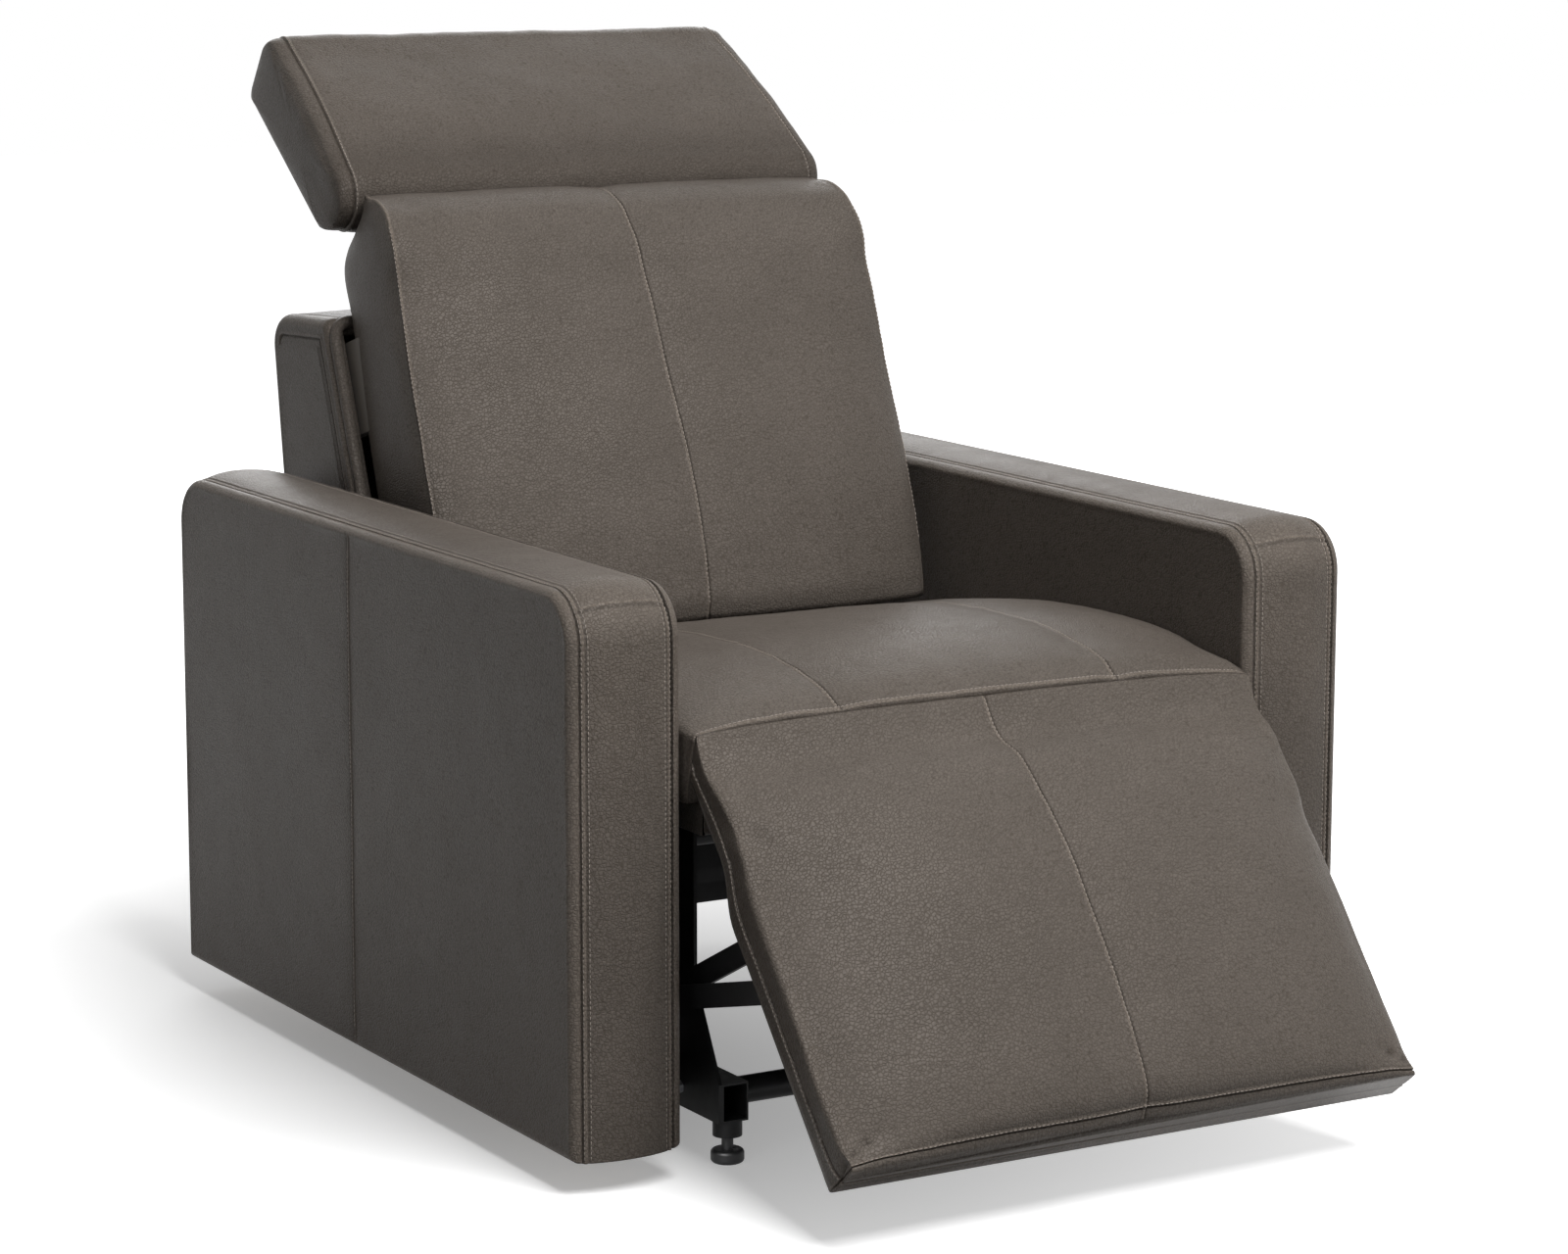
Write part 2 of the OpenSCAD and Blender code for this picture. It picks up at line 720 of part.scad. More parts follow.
// Seat frame
seat_rail_in = plate_x - seat_rail_w / 2 + plate_t;
module seat_side_rails() {
    color(timber) place() for (side = [-1, 1])
        hand_slab(side, seat_rail_in, seat_rail_in + seat_rail_w)
            translate([rail_front, plate_top]) square([seat_frame_rear - rail_front, seat_rail_h]);
}
module seat_cross_rails() {
    color(timber) place() for (y = [rail_front, seat_frame_rear - seat_rail_h])
        span_box([-seat_rail_in, y, plate_top], [seat_rail_in, y + seat_rail_h, seat_frame_top]);
}
module seat_webbing() {
    pitch = 2 * (seat_rail_in - strap_w / 2) / strap_count;
    color(webbing) place() for (i = [0 : strap_count - 1])
        translate([(i - (strap_count - 1) / 2) * pitch - strap_w / 2, rail_front, seat_frame_top])
            cube([strap_w, seat_frame_rear - rail_front, strap_t]);
}

// Seat cushion: places along it with the height of its crown and of its edges
seat_len = seat_rear + seam_front;
seat_rise = seat_crown_z - seat_z;
// Share of the length, share of the rise, share of the edge
seat_shares = [
    [0.05, 0.83, 0.74], [0.13, 0.93, 0.68], [0.24, 0.99, 0.74], [0.40, 1, 0.77],
    [0.56, 0.96, 0.8], [0.76, 0.83, 0.83], [0.90, 0.70, 0.86], [0.975, 0.60, 0.88], [1, 0.52, 0.9]
];
seat_draw = 4;
channel_depth = 3;
seam_lean = 28;
lean_share = 0.25;
seam_edge_share = 0.82;
seat_seam_shares = [0.5];
mid_seam_shares = [0];
module seat_cushion() {
    low_y = seam_lean - seam_front;
    front = [[low_y, seat_z], [-seam_front, seam_z], seat_half_w - seat_draw, seam_edge_share];
    color(leather) place() soft_form(concat([front], [for (s = seat_shares)
        let (y = s[0] * seat_len - seam_front)
        [[max(low_y + s[0] * seat_len * lean_share, y), seat_z],
         [y, seat_z + seat_rise * s[1]], seat_half_w, s[2]]]),
        seat_draw, seat_seam_shares, channel_depth);
}

// Bridging pad between the seat and the legrest
bridge_shares = [[0.1, 0.60], [0.4, 0.83], [0.7, 0.93], [1, 0.98]];
bridge_edge_share = 0.7;
bridge_rise = 24;
module chaise_pad() {
    bridge_lean = seam_lean * bridge_rise / (seam_z - seat_z);
    front = [[seam_lean - seam_front - bridge_lean - 2 * soft_gap, seat_z + bridge_rise],
        [-seam_front - 2 * soft_gap, seam_z - soft_gap], leg_half_w - seat_draw, seam_edge_share];
    color(leather) place() soft_form(concat([front], [for (s = bridge_shares)
        [leg_pt(s[0] * bridge_len, 0), leg_pt(s[0] * bridge_len, leg_thick * s[1] + leg_face_t),
         leg_half_w, bridge_edge_share]]),
        seat_draw, mid_seam_shares, channel_depth);
}

// Legrest
leg_start = bridge_len + 2 * soft_gap;
module legrest_board() {
    color(timber) place() side_slab(-leg_half_w + seat_draw, leg_half_w - seat_draw) polygon([
        leg_pt(leg_start, leg_face_t), leg_pt(leg_start, leg_face_t - leg_board_t),
        leg_pt(leg_board_end, leg_face_t - leg_board_t), leg_pt(leg_board_end, leg_face_t)
    ]);
}
// Share of the cushion's length, of its thickness at the face behind it and at its crown
leg_shares = [
    [0, 0, 0.985, 0.7], [0.12, 0, 1, 0.71], [0.27, 0, 0.99, 0.7], [0.45, 0, 0.96, 0.69],
    [0.62, 0, 0.91, 0.68], [0.76, 0, 0.86, 0.67], [0.85, 0, 0.81, 0.68], [0.92, 0, 0.74, 0.7],
    [0.965, 0, 0.65, 0.76], [0.99, 0.03, 0.54, 0.84], [1, 0.1, 0.44, 0.9]
];
module legrest_cushion() {
    run = leg_len - leg_start;
    color(leather) place() soft_form([for (s = leg_shares)
        [leg_pt(leg_start + s[0] * run, leg_face_t + leg_thick * s[1]),
         leg_pt(leg_start + s[0] * run, leg_face_t + leg_thick * s[2]), leg_half_w, s[3]]],
        seat_draw, mid_seam_shares, channel_depth);
}

// Steel brackets behind the legrest board, with a stud for each link
flange_w = 24;
flange_t = 3;
module legrest_brackets() {
    back_t = leg_face_t - leg_board_t;
    color(steel_black) place() {
        both_slabs(eye_plate_x, eye_plate_x + link_t) {
            bar_2d([front_eye, rear_eye], link_w);
            polygon([leg_pt(front_eye_s - link_w / 2, back_t), leg_pt(leg_board_end - link_w, back_t),
                leg_pt(leg_board_end - link_w, back_t - flange_t), rear_eye, front_eye]);
        }
        both_slabs(eye_plate_x - flange_w, eye_plate_x) polygon([
            leg_pt(front_eye_s + 3 * link_w, back_t), leg_pt(leg_board_end - link_w, back_t),
            leg_pt(leg_board_end - link_w, back_t - flange_t),
            leg_pt(front_eye_s + 3 * link_w, back_t - flange_t)]);
        for (side = [-1, 1]) {
            hand_slab(side, front_link_x, eye_plate_x) hole_2d(front_eye, link_pin_d);
            hand_slab(side, eye_plate_x + link_t, rear_link_x + link_t) hole_2d(rear_eye, link_pin_d);
        }
    }
}

// Torque tube between the front cranks
module torque_tube() {
    color(steel_black) place() side_slab(-crank_x, crank_x) difference() {
        hole_2d(front_crank_pivot, torque_d);
        hole_2d(front_crank_pivot, torque_d - 2 * tube_wall);
    }
}
module crank_2d(pivot, end) {
    difference() {
        bar_2d([pivot, end], link_w);
        hole_2d(end, link_pin_d + 2 * run_gap);
    }
}
module front_cranks() {
    color(steel_black) place()
        both_slabs(crank_x, crank_x + link_t) crank_2d(front_crank_pivot, front_crank_end);
}
// The rear cranks turn on stub pins in the side plates
module rear_cranks() {
    color(steel_black) place() {
        both_slabs(crank_x, crank_x + link_t) crank_2d(rear_crank_pivot, rear_crank_end);
        both_slabs(plate_x - link_gap, crank_x) hole_2d(rear_crank_pivot, link_pin_d);
    }
}
module push_link_2d(end, eye) {
    difference() {
        bar_2d([end, eye], link_w);
        hole_2d(eye, link_pin_d + 2 * open_gap);
    }
}
// Each push link has a stud that turns in its crank, and a hole for the stud on the legrest
module front_push_links() {
    color(steel_black) place() {
        both_slabs(front_link_x, front_link_x + link_t) push_link_2d(front_crank_end, front_eye);
        both_slabs(crank_x, front_link_x) hole_2d(front_crank_end, link_pin_d);
    }
}
module rear_push_links() {
    color(steel_black) place() {
        both_slabs(rear_link_x, rear_link_x + link_t) push_link_2d(rear_crank_end, rear_eye);
        both_slabs(crank_x, rear_link_x) hole_2d(rear_crank_end, link_pin_d);
    }
}

// Back

// Shaft that the back turns on, with the two levers and the pin for the actuator
lever_t = 6;
lever_w = 30;
module back_pivot_shaft() {
    color(steel_black) place() {
        cross_rod(back_pivot, back_shaft_d, -crank_x, crank_x);
        both_slabs(eye_half_w + link_gap, eye_half_w + link_gap + lever_t)
            bar_2d([back_pivot, back_eye], lever_w);
        cross_rod(back_eye, back_pin_d, -eye_half_w - link_gap, eye_half_w + link_gap);
    }
}

hinge_lean = 7;
hinge_rise = 180;
hinge_reach = 200;
hinge_knee = back_pivot + [hinge_lean, hinge_rise];
hinge_top = back_pt(hinge_reach, -back_board_t);
module back_hinge_brackets() {
    color(steel_black) place() both_slabs(crank_x, crank_x + plate_t)
        bar_2d([back_pivot, hinge_knee, hinge_top], link_w + plate_t);
}

// Board behind the back cushion, with cleats to the sides of the shell
cleat_low = 225;
cleat_high = 330;
cleat_depth = 100;
module back_board() {
    color(timber) place() {
        side_slab(-crank_x, crank_x) polygon([
            back_pt(-back_board_t, 0), back_pt(back_len, 0),
            back_pt(back_len, -back_board_t), back_pt(-back_board_t, -back_board_t)]);
        both_slabs(crank_x, shell_in) polygon([
            back_pt(cleat_low, 0), back_pt(cleat_high, 0), back_pt(cleat_high, -cleat_depth),
            back_pt(cleat_low, -cleat_depth)]);
    }
}

// Slices of the back cushion: place on the back line, then place and thickness at the crown as
// shares of the length and the thickness, then the share of the edge
back_shares = [
    [0, -0.085, 0.915, 0.7], [0.03, -0.045, 0.98, 0.68], [0.08, 0.02, 1, 0.68],
    [0.19, 0.165, 1, 0.69], [0.37, 0.37, 0.915, 0.72], [0.57, 0.575, 0.785, 0.78],
    [0.77, 0.78, 0.655, 0.86], [0.92, 0.945, 0.52, 0.94], [0.96, 1.005, 0.365, 0.95],
    [0.985, 1.04, 0.2, 0.95], [1, 1.062, 0.08, 0.95]
];
module back_cushion() {
    color(leather) place() soft_form([for (s = back_shares)
        [back_pt(s[0] * back_len, soft_gap),
         back_pt(s[1] * back_len, s[2] * back_thick), back_half_w, s[3]]],
        2 * seat_draw, mid_seam_shares, channel_depth);
}

// Outer back shell: padded sides, top and rear panel round the back of the frame
module shell_side(side) {
    color(leather) place() hand_slab(side, shell_in, shell_half_w) polygon(shell_outline);
}
shell_rear_share = (shell_top_rear_y - shell_low_rear_y) / (shell_top_rear_z - shell_low_z);
shell_front_share = (shell_top_front_y - shell_knee_y) / (shell_top_front_z - shell_knee_z);
module shell_top_panel() {
    color(leather) place() side_slab(-shell_in, shell_in) polygon([
        [shell_top_front_y, shell_top_front_z], [shell_top_rear_y, shell_top_rear_z],
        [shell_top_rear_y - shell_rear_share * shell_wall, shell_top_rear_z - shell_wall],
        [shell_top_front_y - shell_front_share * shell_wall, shell_top_front_z - shell_wall]]);
}
module shell_rear_panel() {
    top_z = shell_top_rear_z - shell_wall - soft_gap;
    top_y = shell_top_rear_y - shell_rear_share * (shell_top_rear_z - top_z);
    color(leather) place() side_slab(-shell_in, shell_in) polygon([
        [shell_low_rear_y, shell_low_z], [top_y, top_z],
        [top_y - shell_wall, top_z], [shell_low_rear_y - shell_wall, shell_low_z]]);
}

// Headrest

// Fixed plates that rise from the back board to the headrest's pivot, with a hole for the pin
head_plate_t = 4;
head_plate_w = 26;
head_knee_out = 16;
module headrest_hinge_mounts() {
    foot = back_pt(back_len - 3 * head_plate_w, -back_board_t - head_plate_w / 2);
    knee = back_pt(back_len - head_plate_w, -back_board_t - head_plate_w / 2 - head_knee_out);
    color(steel_black) place() both_slabs(head_hinge_x, head_hinge_x + head_plate_t) difference() {
        bar_2d([foot, knee, head_pivot], head_plate_w);
        hole_2d(head_pivot, head_pin_d + 2 * run_gap);
    }
}
// Moving plates behind the headrest board, each with its pin
head_notch = 20;
head_top_pad = 16;
head_face_fall = 6;
head_arm_end = 100;
head_board_end = head_len - head_top_pad;
head_board_x = head_half_w - head_taper - 2 * seat_draw;
head_flare = head_top_t - 2 * head_roll_r + head_face_fall;
function head_rear_b(a) = -head_roll_r - head_flare * a / head_len;
module headrest_hinge_arms() {
    x0 = head_hinge_x + head_plate_t + link_gap;
    drop = head_plate_w / 2 + soft_gap;
    color(steel_black) place() {
        both_slabs(x0, x0 + head_plate_t) bar_2d([head_pivot, head_pt(0, head_rear_b(0) - drop),
            head_pt(head_arm_end, head_rear_b(head_arm_end) - drop)], head_plate_w);
        for (side = [-1, 1])
            hand_slab(side, head_hinge_x, x0) hole_2d(head_pivot, head_pin_d);
    }
}
module headrest_board() {
    color(timber) place() side_slab(-head_board_x, head_board_x) polygon([
        head_pt(head_notch, head_rear_b(head_notch)),
        head_pt(head_board_end, head_rear_b(head_board_end)),
        head_pt(head_board_end, head_rear_b(head_board_end) + head_board_t),
        head_pt(head_notch, head_rear_b(head_notch) + head_board_t)]);
}

// Side view of the headrest cushion as [a, b] points: a rolled lower end, the crowned face, the
// rounded top and, behind, the recess that the board lies in
roll_steps = 12;
slot_steps = 8;
slot_front = 74;
slot_mouth = 143;
slot_r = head_plate_w / 2 + 5 * soft_gap;
top_steps = 4;
face_steps = 5;
head_crown = 6;
head_front_r = 34;
head_rear_r = 14;
function head_roll(slot) = slot ? concat(
    [for (k = [0 : slot_steps]) let (t = slot_front * k / slot_steps) slot_r * [cos(t), sin(t)]],
    [for (k = [slot_steps + 1 : roll_steps])
        let (t = slot_mouth - (slot_mouth - 90) * (k - slot_steps - 1) / (roll_steps - slot_steps - 1))
        head_roll_r * [cos(t), sin(t)]])
    : [for (k = [0 : roll_steps]) let (t = -90 - 180 * k / roll_steps) head_roll_r * [cos(t), sin(t)]];
function head_side(recess, slot) = let (
        end_a = head_board_end + soft_gap,
        start_a = head_notch - soft_gap,
        deep = recess ? head_board_t + soft_gap : 0,
        slip = recess ? 0 : 2 * head_notch,
        front_b = head_top_t + head_rear_b(head_len),
        rear_b = head_rear_b(head_len)
    ) concat(
    [[start_a + slip, head_rear_b(start_a + slip) + deep], [start_a, -head_roll_r]],
    head_roll(slot),
    [for (k = [1 : face_steps - 1]) let (q = k / face_steps)
        [q * (head_len - head_front_r),
         head_roll_r + (front_b - head_roll_r) * q + head_crown * sin(180 * q)]],
    [for (k = [0 : top_steps]) let (t = 90 - 90 * k / top_steps)
        [head_len - head_front_r, front_b - head_front_r] + head_front_r * [cos(t), sin(t)]],
    [for (k = [0 : top_steps - 1]) let (t = -90 * k / top_steps)
        [head_len - head_rear_r, rear_b + head_rear_r] + head_rear_r * [cos(t), sin(t)]],
    [[end_a, head_rear_b(end_a)], [end_a - slip, head_rear_b(end_a - slip) + deep]]
);
// Draws the face and both ends of the outline in by d
function head_shape(p, d) = let (
        a = p[0] < 0 ? p[0] * (1 - d / head_roll_r) : p[0] > head_board_end
            ? head_board_end + (p[0] - head_board_end) * (1 - d / head_front_r) : p[0],
        b = p[1] > 0 ? p[1] * (1 - d / head_roll_r) : p[1]
    ) [a, b];
// The headrest narrows towards its top, outside the board
function head_x(x, a) = let (spare = head_half_w - head_board_x)
    abs(x) <= head_board_x + soft_gap ? x
    : sign(x) * (abs(x) - head_taper * max(0, a) / head_len * (abs(x) - head_board_x) / spare);

// Slices from the middle outwards: place across, share of the draw, recess and slot. Each slot
// takes the hinge plates and opens to the bottom and rear, for the whole tilt.
head_draw = 14;
notch_side = 5;
step = 0.1;
notch_in = head_hinge_x - notch_side;
notch_out = head_hinge_x + 2 * head_plate_t + link_gap + notch_side;
recess_x = head_board_x + soft_gap;
recess_draw_share = 0.06;
head_edge_shares = [[0.95, 0.16], [0.983, 0.45], [1, 1]];
head_slices = concat([
    [0, 0, true, false], [notch_in, 0, true, false], [notch_in + step, 0, true, true],
    [notch_out, 0, true, true], [notch_out + step, 0, true, false],
    [recess_x, recess_draw_share, true, false],
    [recess_x + step, recess_draw_share, false, false]],
    [for (s = head_edge_shares) [head_half_w * s[0], s[1], false, false]]);
module headrest_cushion() {
    n = len(head_slices) - 1;
    slices = concat([for (i = [n : -1 : 1]) let (s = head_slices[i])
        [-s[0], s[1], s[2], s[3]]], head_slices);
    rings = [for (s = slices) [for (p = head_side(s[2], s[3]))
        let (q = head_shape(p, s[1] * head_draw), m = head_pt(q[0], q[1]))
        [head_x(s[0], q[0]), m[0], m[1]]]];
    m = len(rings[0]);
    mid_a = head_len / 2;
    mids = [for (x = [-1, 1]) let (p = head_pt(mid_a, 0))
        [head_x(x * head_half_w, mid_a), p[0], p[1]]];
    color(leather) place()
        polyhedron(concat([for (r = rings) each r], mids), loft_faces(len(rings), m));
}

// Controls
panel_t = 4;
panel_z = arm_top - panel_drop;
button_proud = 2;
collar_t = 2;
collar_rim = 1;
function button_y(i) = panel_y + (i - 1.5) * button_pitch;
module control_panel() {
    color(plastic_black) place() difference() {
        translate([-arm_in, panel_y - panel_len / 2, panel_z - panel_h / 2])
            cube([panel_t, panel_len, panel_h]);
        for (i = [0 : 3]) translate([-arm_in - over, button_y(i), panel_z]) rotate([0, 90, 0])
            cylinder(r = button_d / 2 + run_gap, h = panel_t + 2 * over);
    }
}
// Push-button with a collar behind the panel
module button(i) {
    low = -collar_t - soft_gap;
    color(steel_bright) place() translate([-arm_in, button_y(i), panel_z]) rotate([0, 90, 0]) {
        translate([0, 0, low]) cylinder(d = button_d, h = panel_t + button_proud - low);
        translate([0, 0, low]) cylinder(d = button_d + 2 * collar_rim, h = collar_t);
    }
}

// Electronics box behind the actuator's cross bar, and the power inlet on the rear cross bar
box_size = [120, 90, 36];
box_x = 60;
module control_box() {
    color(plastic_black) place()
        translate([box_x, housing_y, rod_z - bar_size / 2]) cube(box_size);
}
inlet_size = [40, 26, 28];
inlet_x = 160;
inlet_bore = 11;
inlet_depth = 14;
inlet_pin = 2.5;
module power_inlet() {
    y = rear_bar_y + bar_size;
    color(plastic_black) place() translate([inlet_x, y, bar_z]) {
        difference() {
            cube(inlet_size);
            translate([inlet_size[0] / 2, inlet_size[1] - inlet_depth, inlet_size[2] / 2])
                rotate([-90, 0, 0]) cylinder(d = inlet_bore, h = inlet_depth + over);
        }
        translate([inlet_size[0] / 2, inlet_size[1] - inlet_depth, inlet_size[2] / 2])
            rotate([-90, 0, 0]) cylinder(d = inlet_pin, h = inlet_depth - over);
    }
}

arm_frame(-1);  // arm_frame_right
arm_frame(1);  // arm_frame_left
arm_outer_panel(-1);  // arm_outer_panel_right
arm_outer_panel(1);  // arm_outer_panel_left
arm_inner_panel(-1);  // arm_inner_panel_right
arm_inner_panel(1);  // arm_inner_panel_left
arm_front_pad(-1);  // arm_front_pad_right
arm_front_pad(1);  // arm_front_pad_left
arm_top_pad(-1);  // arm_top_pad_right
arm_top_pad(1);  // arm_top_pad_left
arm_rear_pad(-1);  // arm_rear_pad_right
arm_rear_pad(1);  // arm_rear_pad_left
base_rails();
frame_bolts();
front_cross_tube();
rear_cross_bar();
foot_sockets();
side_plates();
arm_brackets();
motor_cross_bar();
actuator_cross_bar();
legrest_gear_motor();
glide(-1, glide_ys[0]);  // glide_front_right
glide(1, glide_ys[0]);  // glide_front_left
glide(-1, glide_ys[1]);  // glide_rear_right
glide(1, glide_ys[1]);  // glide_rear_left
seat_side_rails();
seat_cross_rails();
seat_webbing();
seat_cushion();
chaise_pad();
legrest_board();
legrest_cushion();
legrest_brackets();
torque_tube();
front_cranks();
front_push_links();
rear_cranks();
rear_push_links();
back_pivot_shaft();
back_hinge_brackets();
back_board();
back_cushion();
shell_side(-1);  // shell_side_right
shell_side(1);  // shell_side_left
shell_top_panel();
shell_rear_panel();
headrest_hinge_mounts();
headrest_hinge_arms();
headrest_board();
headrest_cushion();
back_actuator_body();
back_actuator_rod();
control_panel();
button(0);  // button_legrest_out
button(1);  // button_legrest_in
button(2);  // button_back_down
button(3);  // button_back_up
control_box();
power_inlet();
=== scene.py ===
import json
import math
import bmesh
import bpy
import numpy as np
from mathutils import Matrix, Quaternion, Vector


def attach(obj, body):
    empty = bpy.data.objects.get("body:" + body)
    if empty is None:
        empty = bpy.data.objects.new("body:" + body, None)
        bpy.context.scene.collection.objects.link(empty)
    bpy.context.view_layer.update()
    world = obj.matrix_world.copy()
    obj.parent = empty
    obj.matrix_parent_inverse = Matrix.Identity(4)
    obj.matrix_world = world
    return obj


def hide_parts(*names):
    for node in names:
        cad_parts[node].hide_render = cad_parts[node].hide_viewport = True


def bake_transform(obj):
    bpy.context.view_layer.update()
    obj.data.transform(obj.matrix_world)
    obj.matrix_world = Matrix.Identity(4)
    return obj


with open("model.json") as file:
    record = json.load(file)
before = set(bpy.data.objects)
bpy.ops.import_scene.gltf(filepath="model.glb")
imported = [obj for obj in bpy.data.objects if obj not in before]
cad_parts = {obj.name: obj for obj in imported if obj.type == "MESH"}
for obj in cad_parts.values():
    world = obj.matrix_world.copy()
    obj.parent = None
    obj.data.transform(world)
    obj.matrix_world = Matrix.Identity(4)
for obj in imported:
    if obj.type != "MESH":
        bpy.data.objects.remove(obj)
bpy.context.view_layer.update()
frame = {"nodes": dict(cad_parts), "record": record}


def add_object(name, data):
    o = bpy.data.objects.new(name, data)
    bpy.context.scene.collection.objects.link(o)
    return o


def look(o, at, to, roll=0.0):
    """Puts a camera or a lamp at one point, looking at another."""
    o.location = at
    o.rotation_mode = "QUATERNION"
    aim = (Vector(to) - Vector(at)).to_track_quat("-Z", "Y")
    o.rotation_quaternion = aim @ Quaternion((0, 0, 1), math.radians(roll))


# Camera of the photograph
cam_data = bpy.data.cameras.new("camera")
cam_data.sensor_width = 36
cam_data.lens = 100.8
cam_data.clip_end = 60
camera = add_object("camera", cam_data)
look(camera, (-2.3648, -4.02746, 1.2900), (0.0616, 0.09254, 0.4465), 0.057)
bpy.context.scene.camera = camera

# The chair's own frame, in millimetres: y from the front of the arms to the rear, z up.
# The sizes of this section and of the arms and the shell are the part's own.
LEG_SLOPE, BACK_RAKE, HEAD_TILT = math.radians(50), math.radians(16.2), math.radians(54)
LEG_BEND, LEG_LEN, LEG_THICK, LEG_DROP, TIP_SHARE = (10, 415), 464, 103, 8, 0.45
BACK_FOOT, BACK_LEN, BACK_THICK = (682, 449), 455, 151
HEAD_RISE, HEAD_BEHIND, HEAD_LEN, HEAD_ROLL, HEAD_TOP = 38.72, 39.84, 262, 42, 98
HANDS = ((-1, "right"), (1, "left"))


def leaning(foot, lean, up, out):
    """Side-plane point up a face that leans back from its foot, and out in front of that face."""
    return (foot[0] + up * math.sin(lean) - out * math.cos(lean),
            foot[1] + up * math.cos(lean) + out * math.sin(lean))


def leg_pt(s, t):
    """Side-plane point s down the legrest from the bend of the seat, and t above its board."""
    return (LEG_BEND[0] - s * math.cos(LEG_SLOPE) - t * math.sin(LEG_SLOPE),
            LEG_BEND[1] - s * math.sin(LEG_SLOPE) + t * math.cos(LEG_SLOPE))


def back_pt(up, out):
    return leaning(BACK_FOOT, BACK_RAKE, up, out)


HEAD_PIVOT = back_pt(BACK_LEN + HEAD_RISE, -HEAD_BEHIND)


def head_pt(a, b):
    return leaning(HEAD_PIVOT, HEAD_TILT, a, b)


ORIGIN_Y = (leg_pt(LEG_LEN, LEG_THICK * TIP_SHARE)[0] + head_pt(HEAD_LEN, HEAD_ROLL - HEAD_TOP)[0]) / 2


def to_frame(p):
    """Chair millimetres to the metres of the part's frame."""
    return (np.asarray(p, float) - np.array([0, ORIGIN_Y, 0])) / 1000


# Numbers and noise

def spline(keys, vals, x):
    """Smooth curve through a table, one column of values for each coordinate."""
    k = np.asarray(keys, float)
    v = np.asarray(vals, float)
    flat = v.ndim == 1
    v = v[:, None] if flat else v
    h = np.diff(k)[:, None]
    m = np.diff(v, axis=0) / h
    d = np.empty_like(v)
    d[1:-1] = (m[:-1] * h[1:] + m[1:] * h[:-1]) / (h[1:] + h[:-1])
    d[0], d[-1] = m[0], m[-1]
    x = np.asarray(x, float)
    i = np.clip(np.searchsorted(k, x) - 1, 0, len(h) - 1)
    t = np.clip((x - k[i]) / h[i, 0], 0, 1)[..., None]
    out = ((2 * t**3 - 3 * t**2 + 1) * v[i] + (t**3 - 2 * t**2 + t) * h[i] * d[i]
           + (3 * t**2 - 2 * t**3) * v[i + 1] + (t**3 - t**2) * h[i] * d[i + 1])
    return out[..., 0] if flat else out


def noise(u, v, seed):
    """Smooth noise of about -1 to 1."""
    r = np.random.RandomState(seed)
    perm, ang = r.permutation(256), r.rand(256) * 2 * np.pi
    u, v = np.broadcast_arrays(np.asarray(u, float), np.asarray(v, float))
    ui, vi = np.floor(u).astype(int), np.floor(v).astype(int)
    fu, fv = u - ui, v - vi

    def corner(di, dj):
        k = perm[(perm[(ui + di) & 255] + vi + dj) & 255]
        return np.cos(ang[k]) * (fu - di) + np.sin(ang[k]) * (fv - dj)
    su, sv = fu**3 * (fu * (fu * 6 - 15) + 10), fv**3 * (fv * (fv * 6 - 15) + 10)
    low = corner(0, 0) * (1 - su) + corner(1, 0) * su
    high = corner(0, 1) * (1 - su) + corner(1, 1) * su
    return 1.5 * (low * (1 - sv) + high * sv)


def marks(lo, hi, step, fine=()):
    """Places from lo to hi about step apart, and closer together round the fine ones."""
    base = np.linspace(lo, hi, max(2, round((hi - lo) / step)) + 1)
    keep = np.ones(len(base), bool)
    extra = []
    for centre, reach, gap in fine:
        keep &= abs(base - centre) > reach + gap
        count = round(reach / gap)
        near = centre + gap * np.arange(-count, count + 1)
        extra.append(near[(near > lo + 0.2) & (near < hi - 0.2)])
    keep[[0, -1]] = True
    places = np.sort(np.concatenate([base[keep], *extra]))
    return places[np.concatenate([[True], np.diff(places) > 0.25])]


def gauss(d, width):
    return np.exp(-(d / width) ** 2)


def ridge(d, at=2.8, width=1.7):
    """Flat-topped ridge beside a line, like the lap of a seam."""
    return np.exp(-((d - at) / width) ** 4)


def fade(d, reach, power=1.0):
    """1 on a line, falling to nothing past its reach."""
    return np.exp(-(np.abs(d) / reach) ** power)


def lengths(path):
    """Distance of every point of a path from its start."""
    return np.concatenate([[0], np.cumsum(np.linalg.norm(np.diff(path, axis=0), axis=1))])


def along(path, run, at):
    """Points of a path at some of its lengths."""
    return np.stack([np.interp(at, run, column) for column in path.T], 1)


def unit(v):
    return v / np.maximum(np.linalg.norm(v, axis=-1, keepdims=True), 1e-9)


def from_segment(s, x, a, b):
    """Distance from a straight seam between two places on a cushion, in surface coordinates."""
    d = np.subtract(b, a)
    n = np.hypot(*d)
    t = ((s - a[0]) * d[0] + (x - a[1]) * d[1]) / n**2
    cross = ((s - a[0]) * d[1] - (x - a[1]) * d[0]) / n
    return np.hypot(cross, np.maximum(0, np.maximum(-t, t - 1)) * n)


def lap(d, dip, width, groove, lift):
    """Section of a sewn lap seam: d is the distance across it, and the lap lies at positive d."""
    return -dip * fade(d, width, 1.4) - groove * gauss(d, 1.1) + lift * ridge(d, 3.0, 2.0)


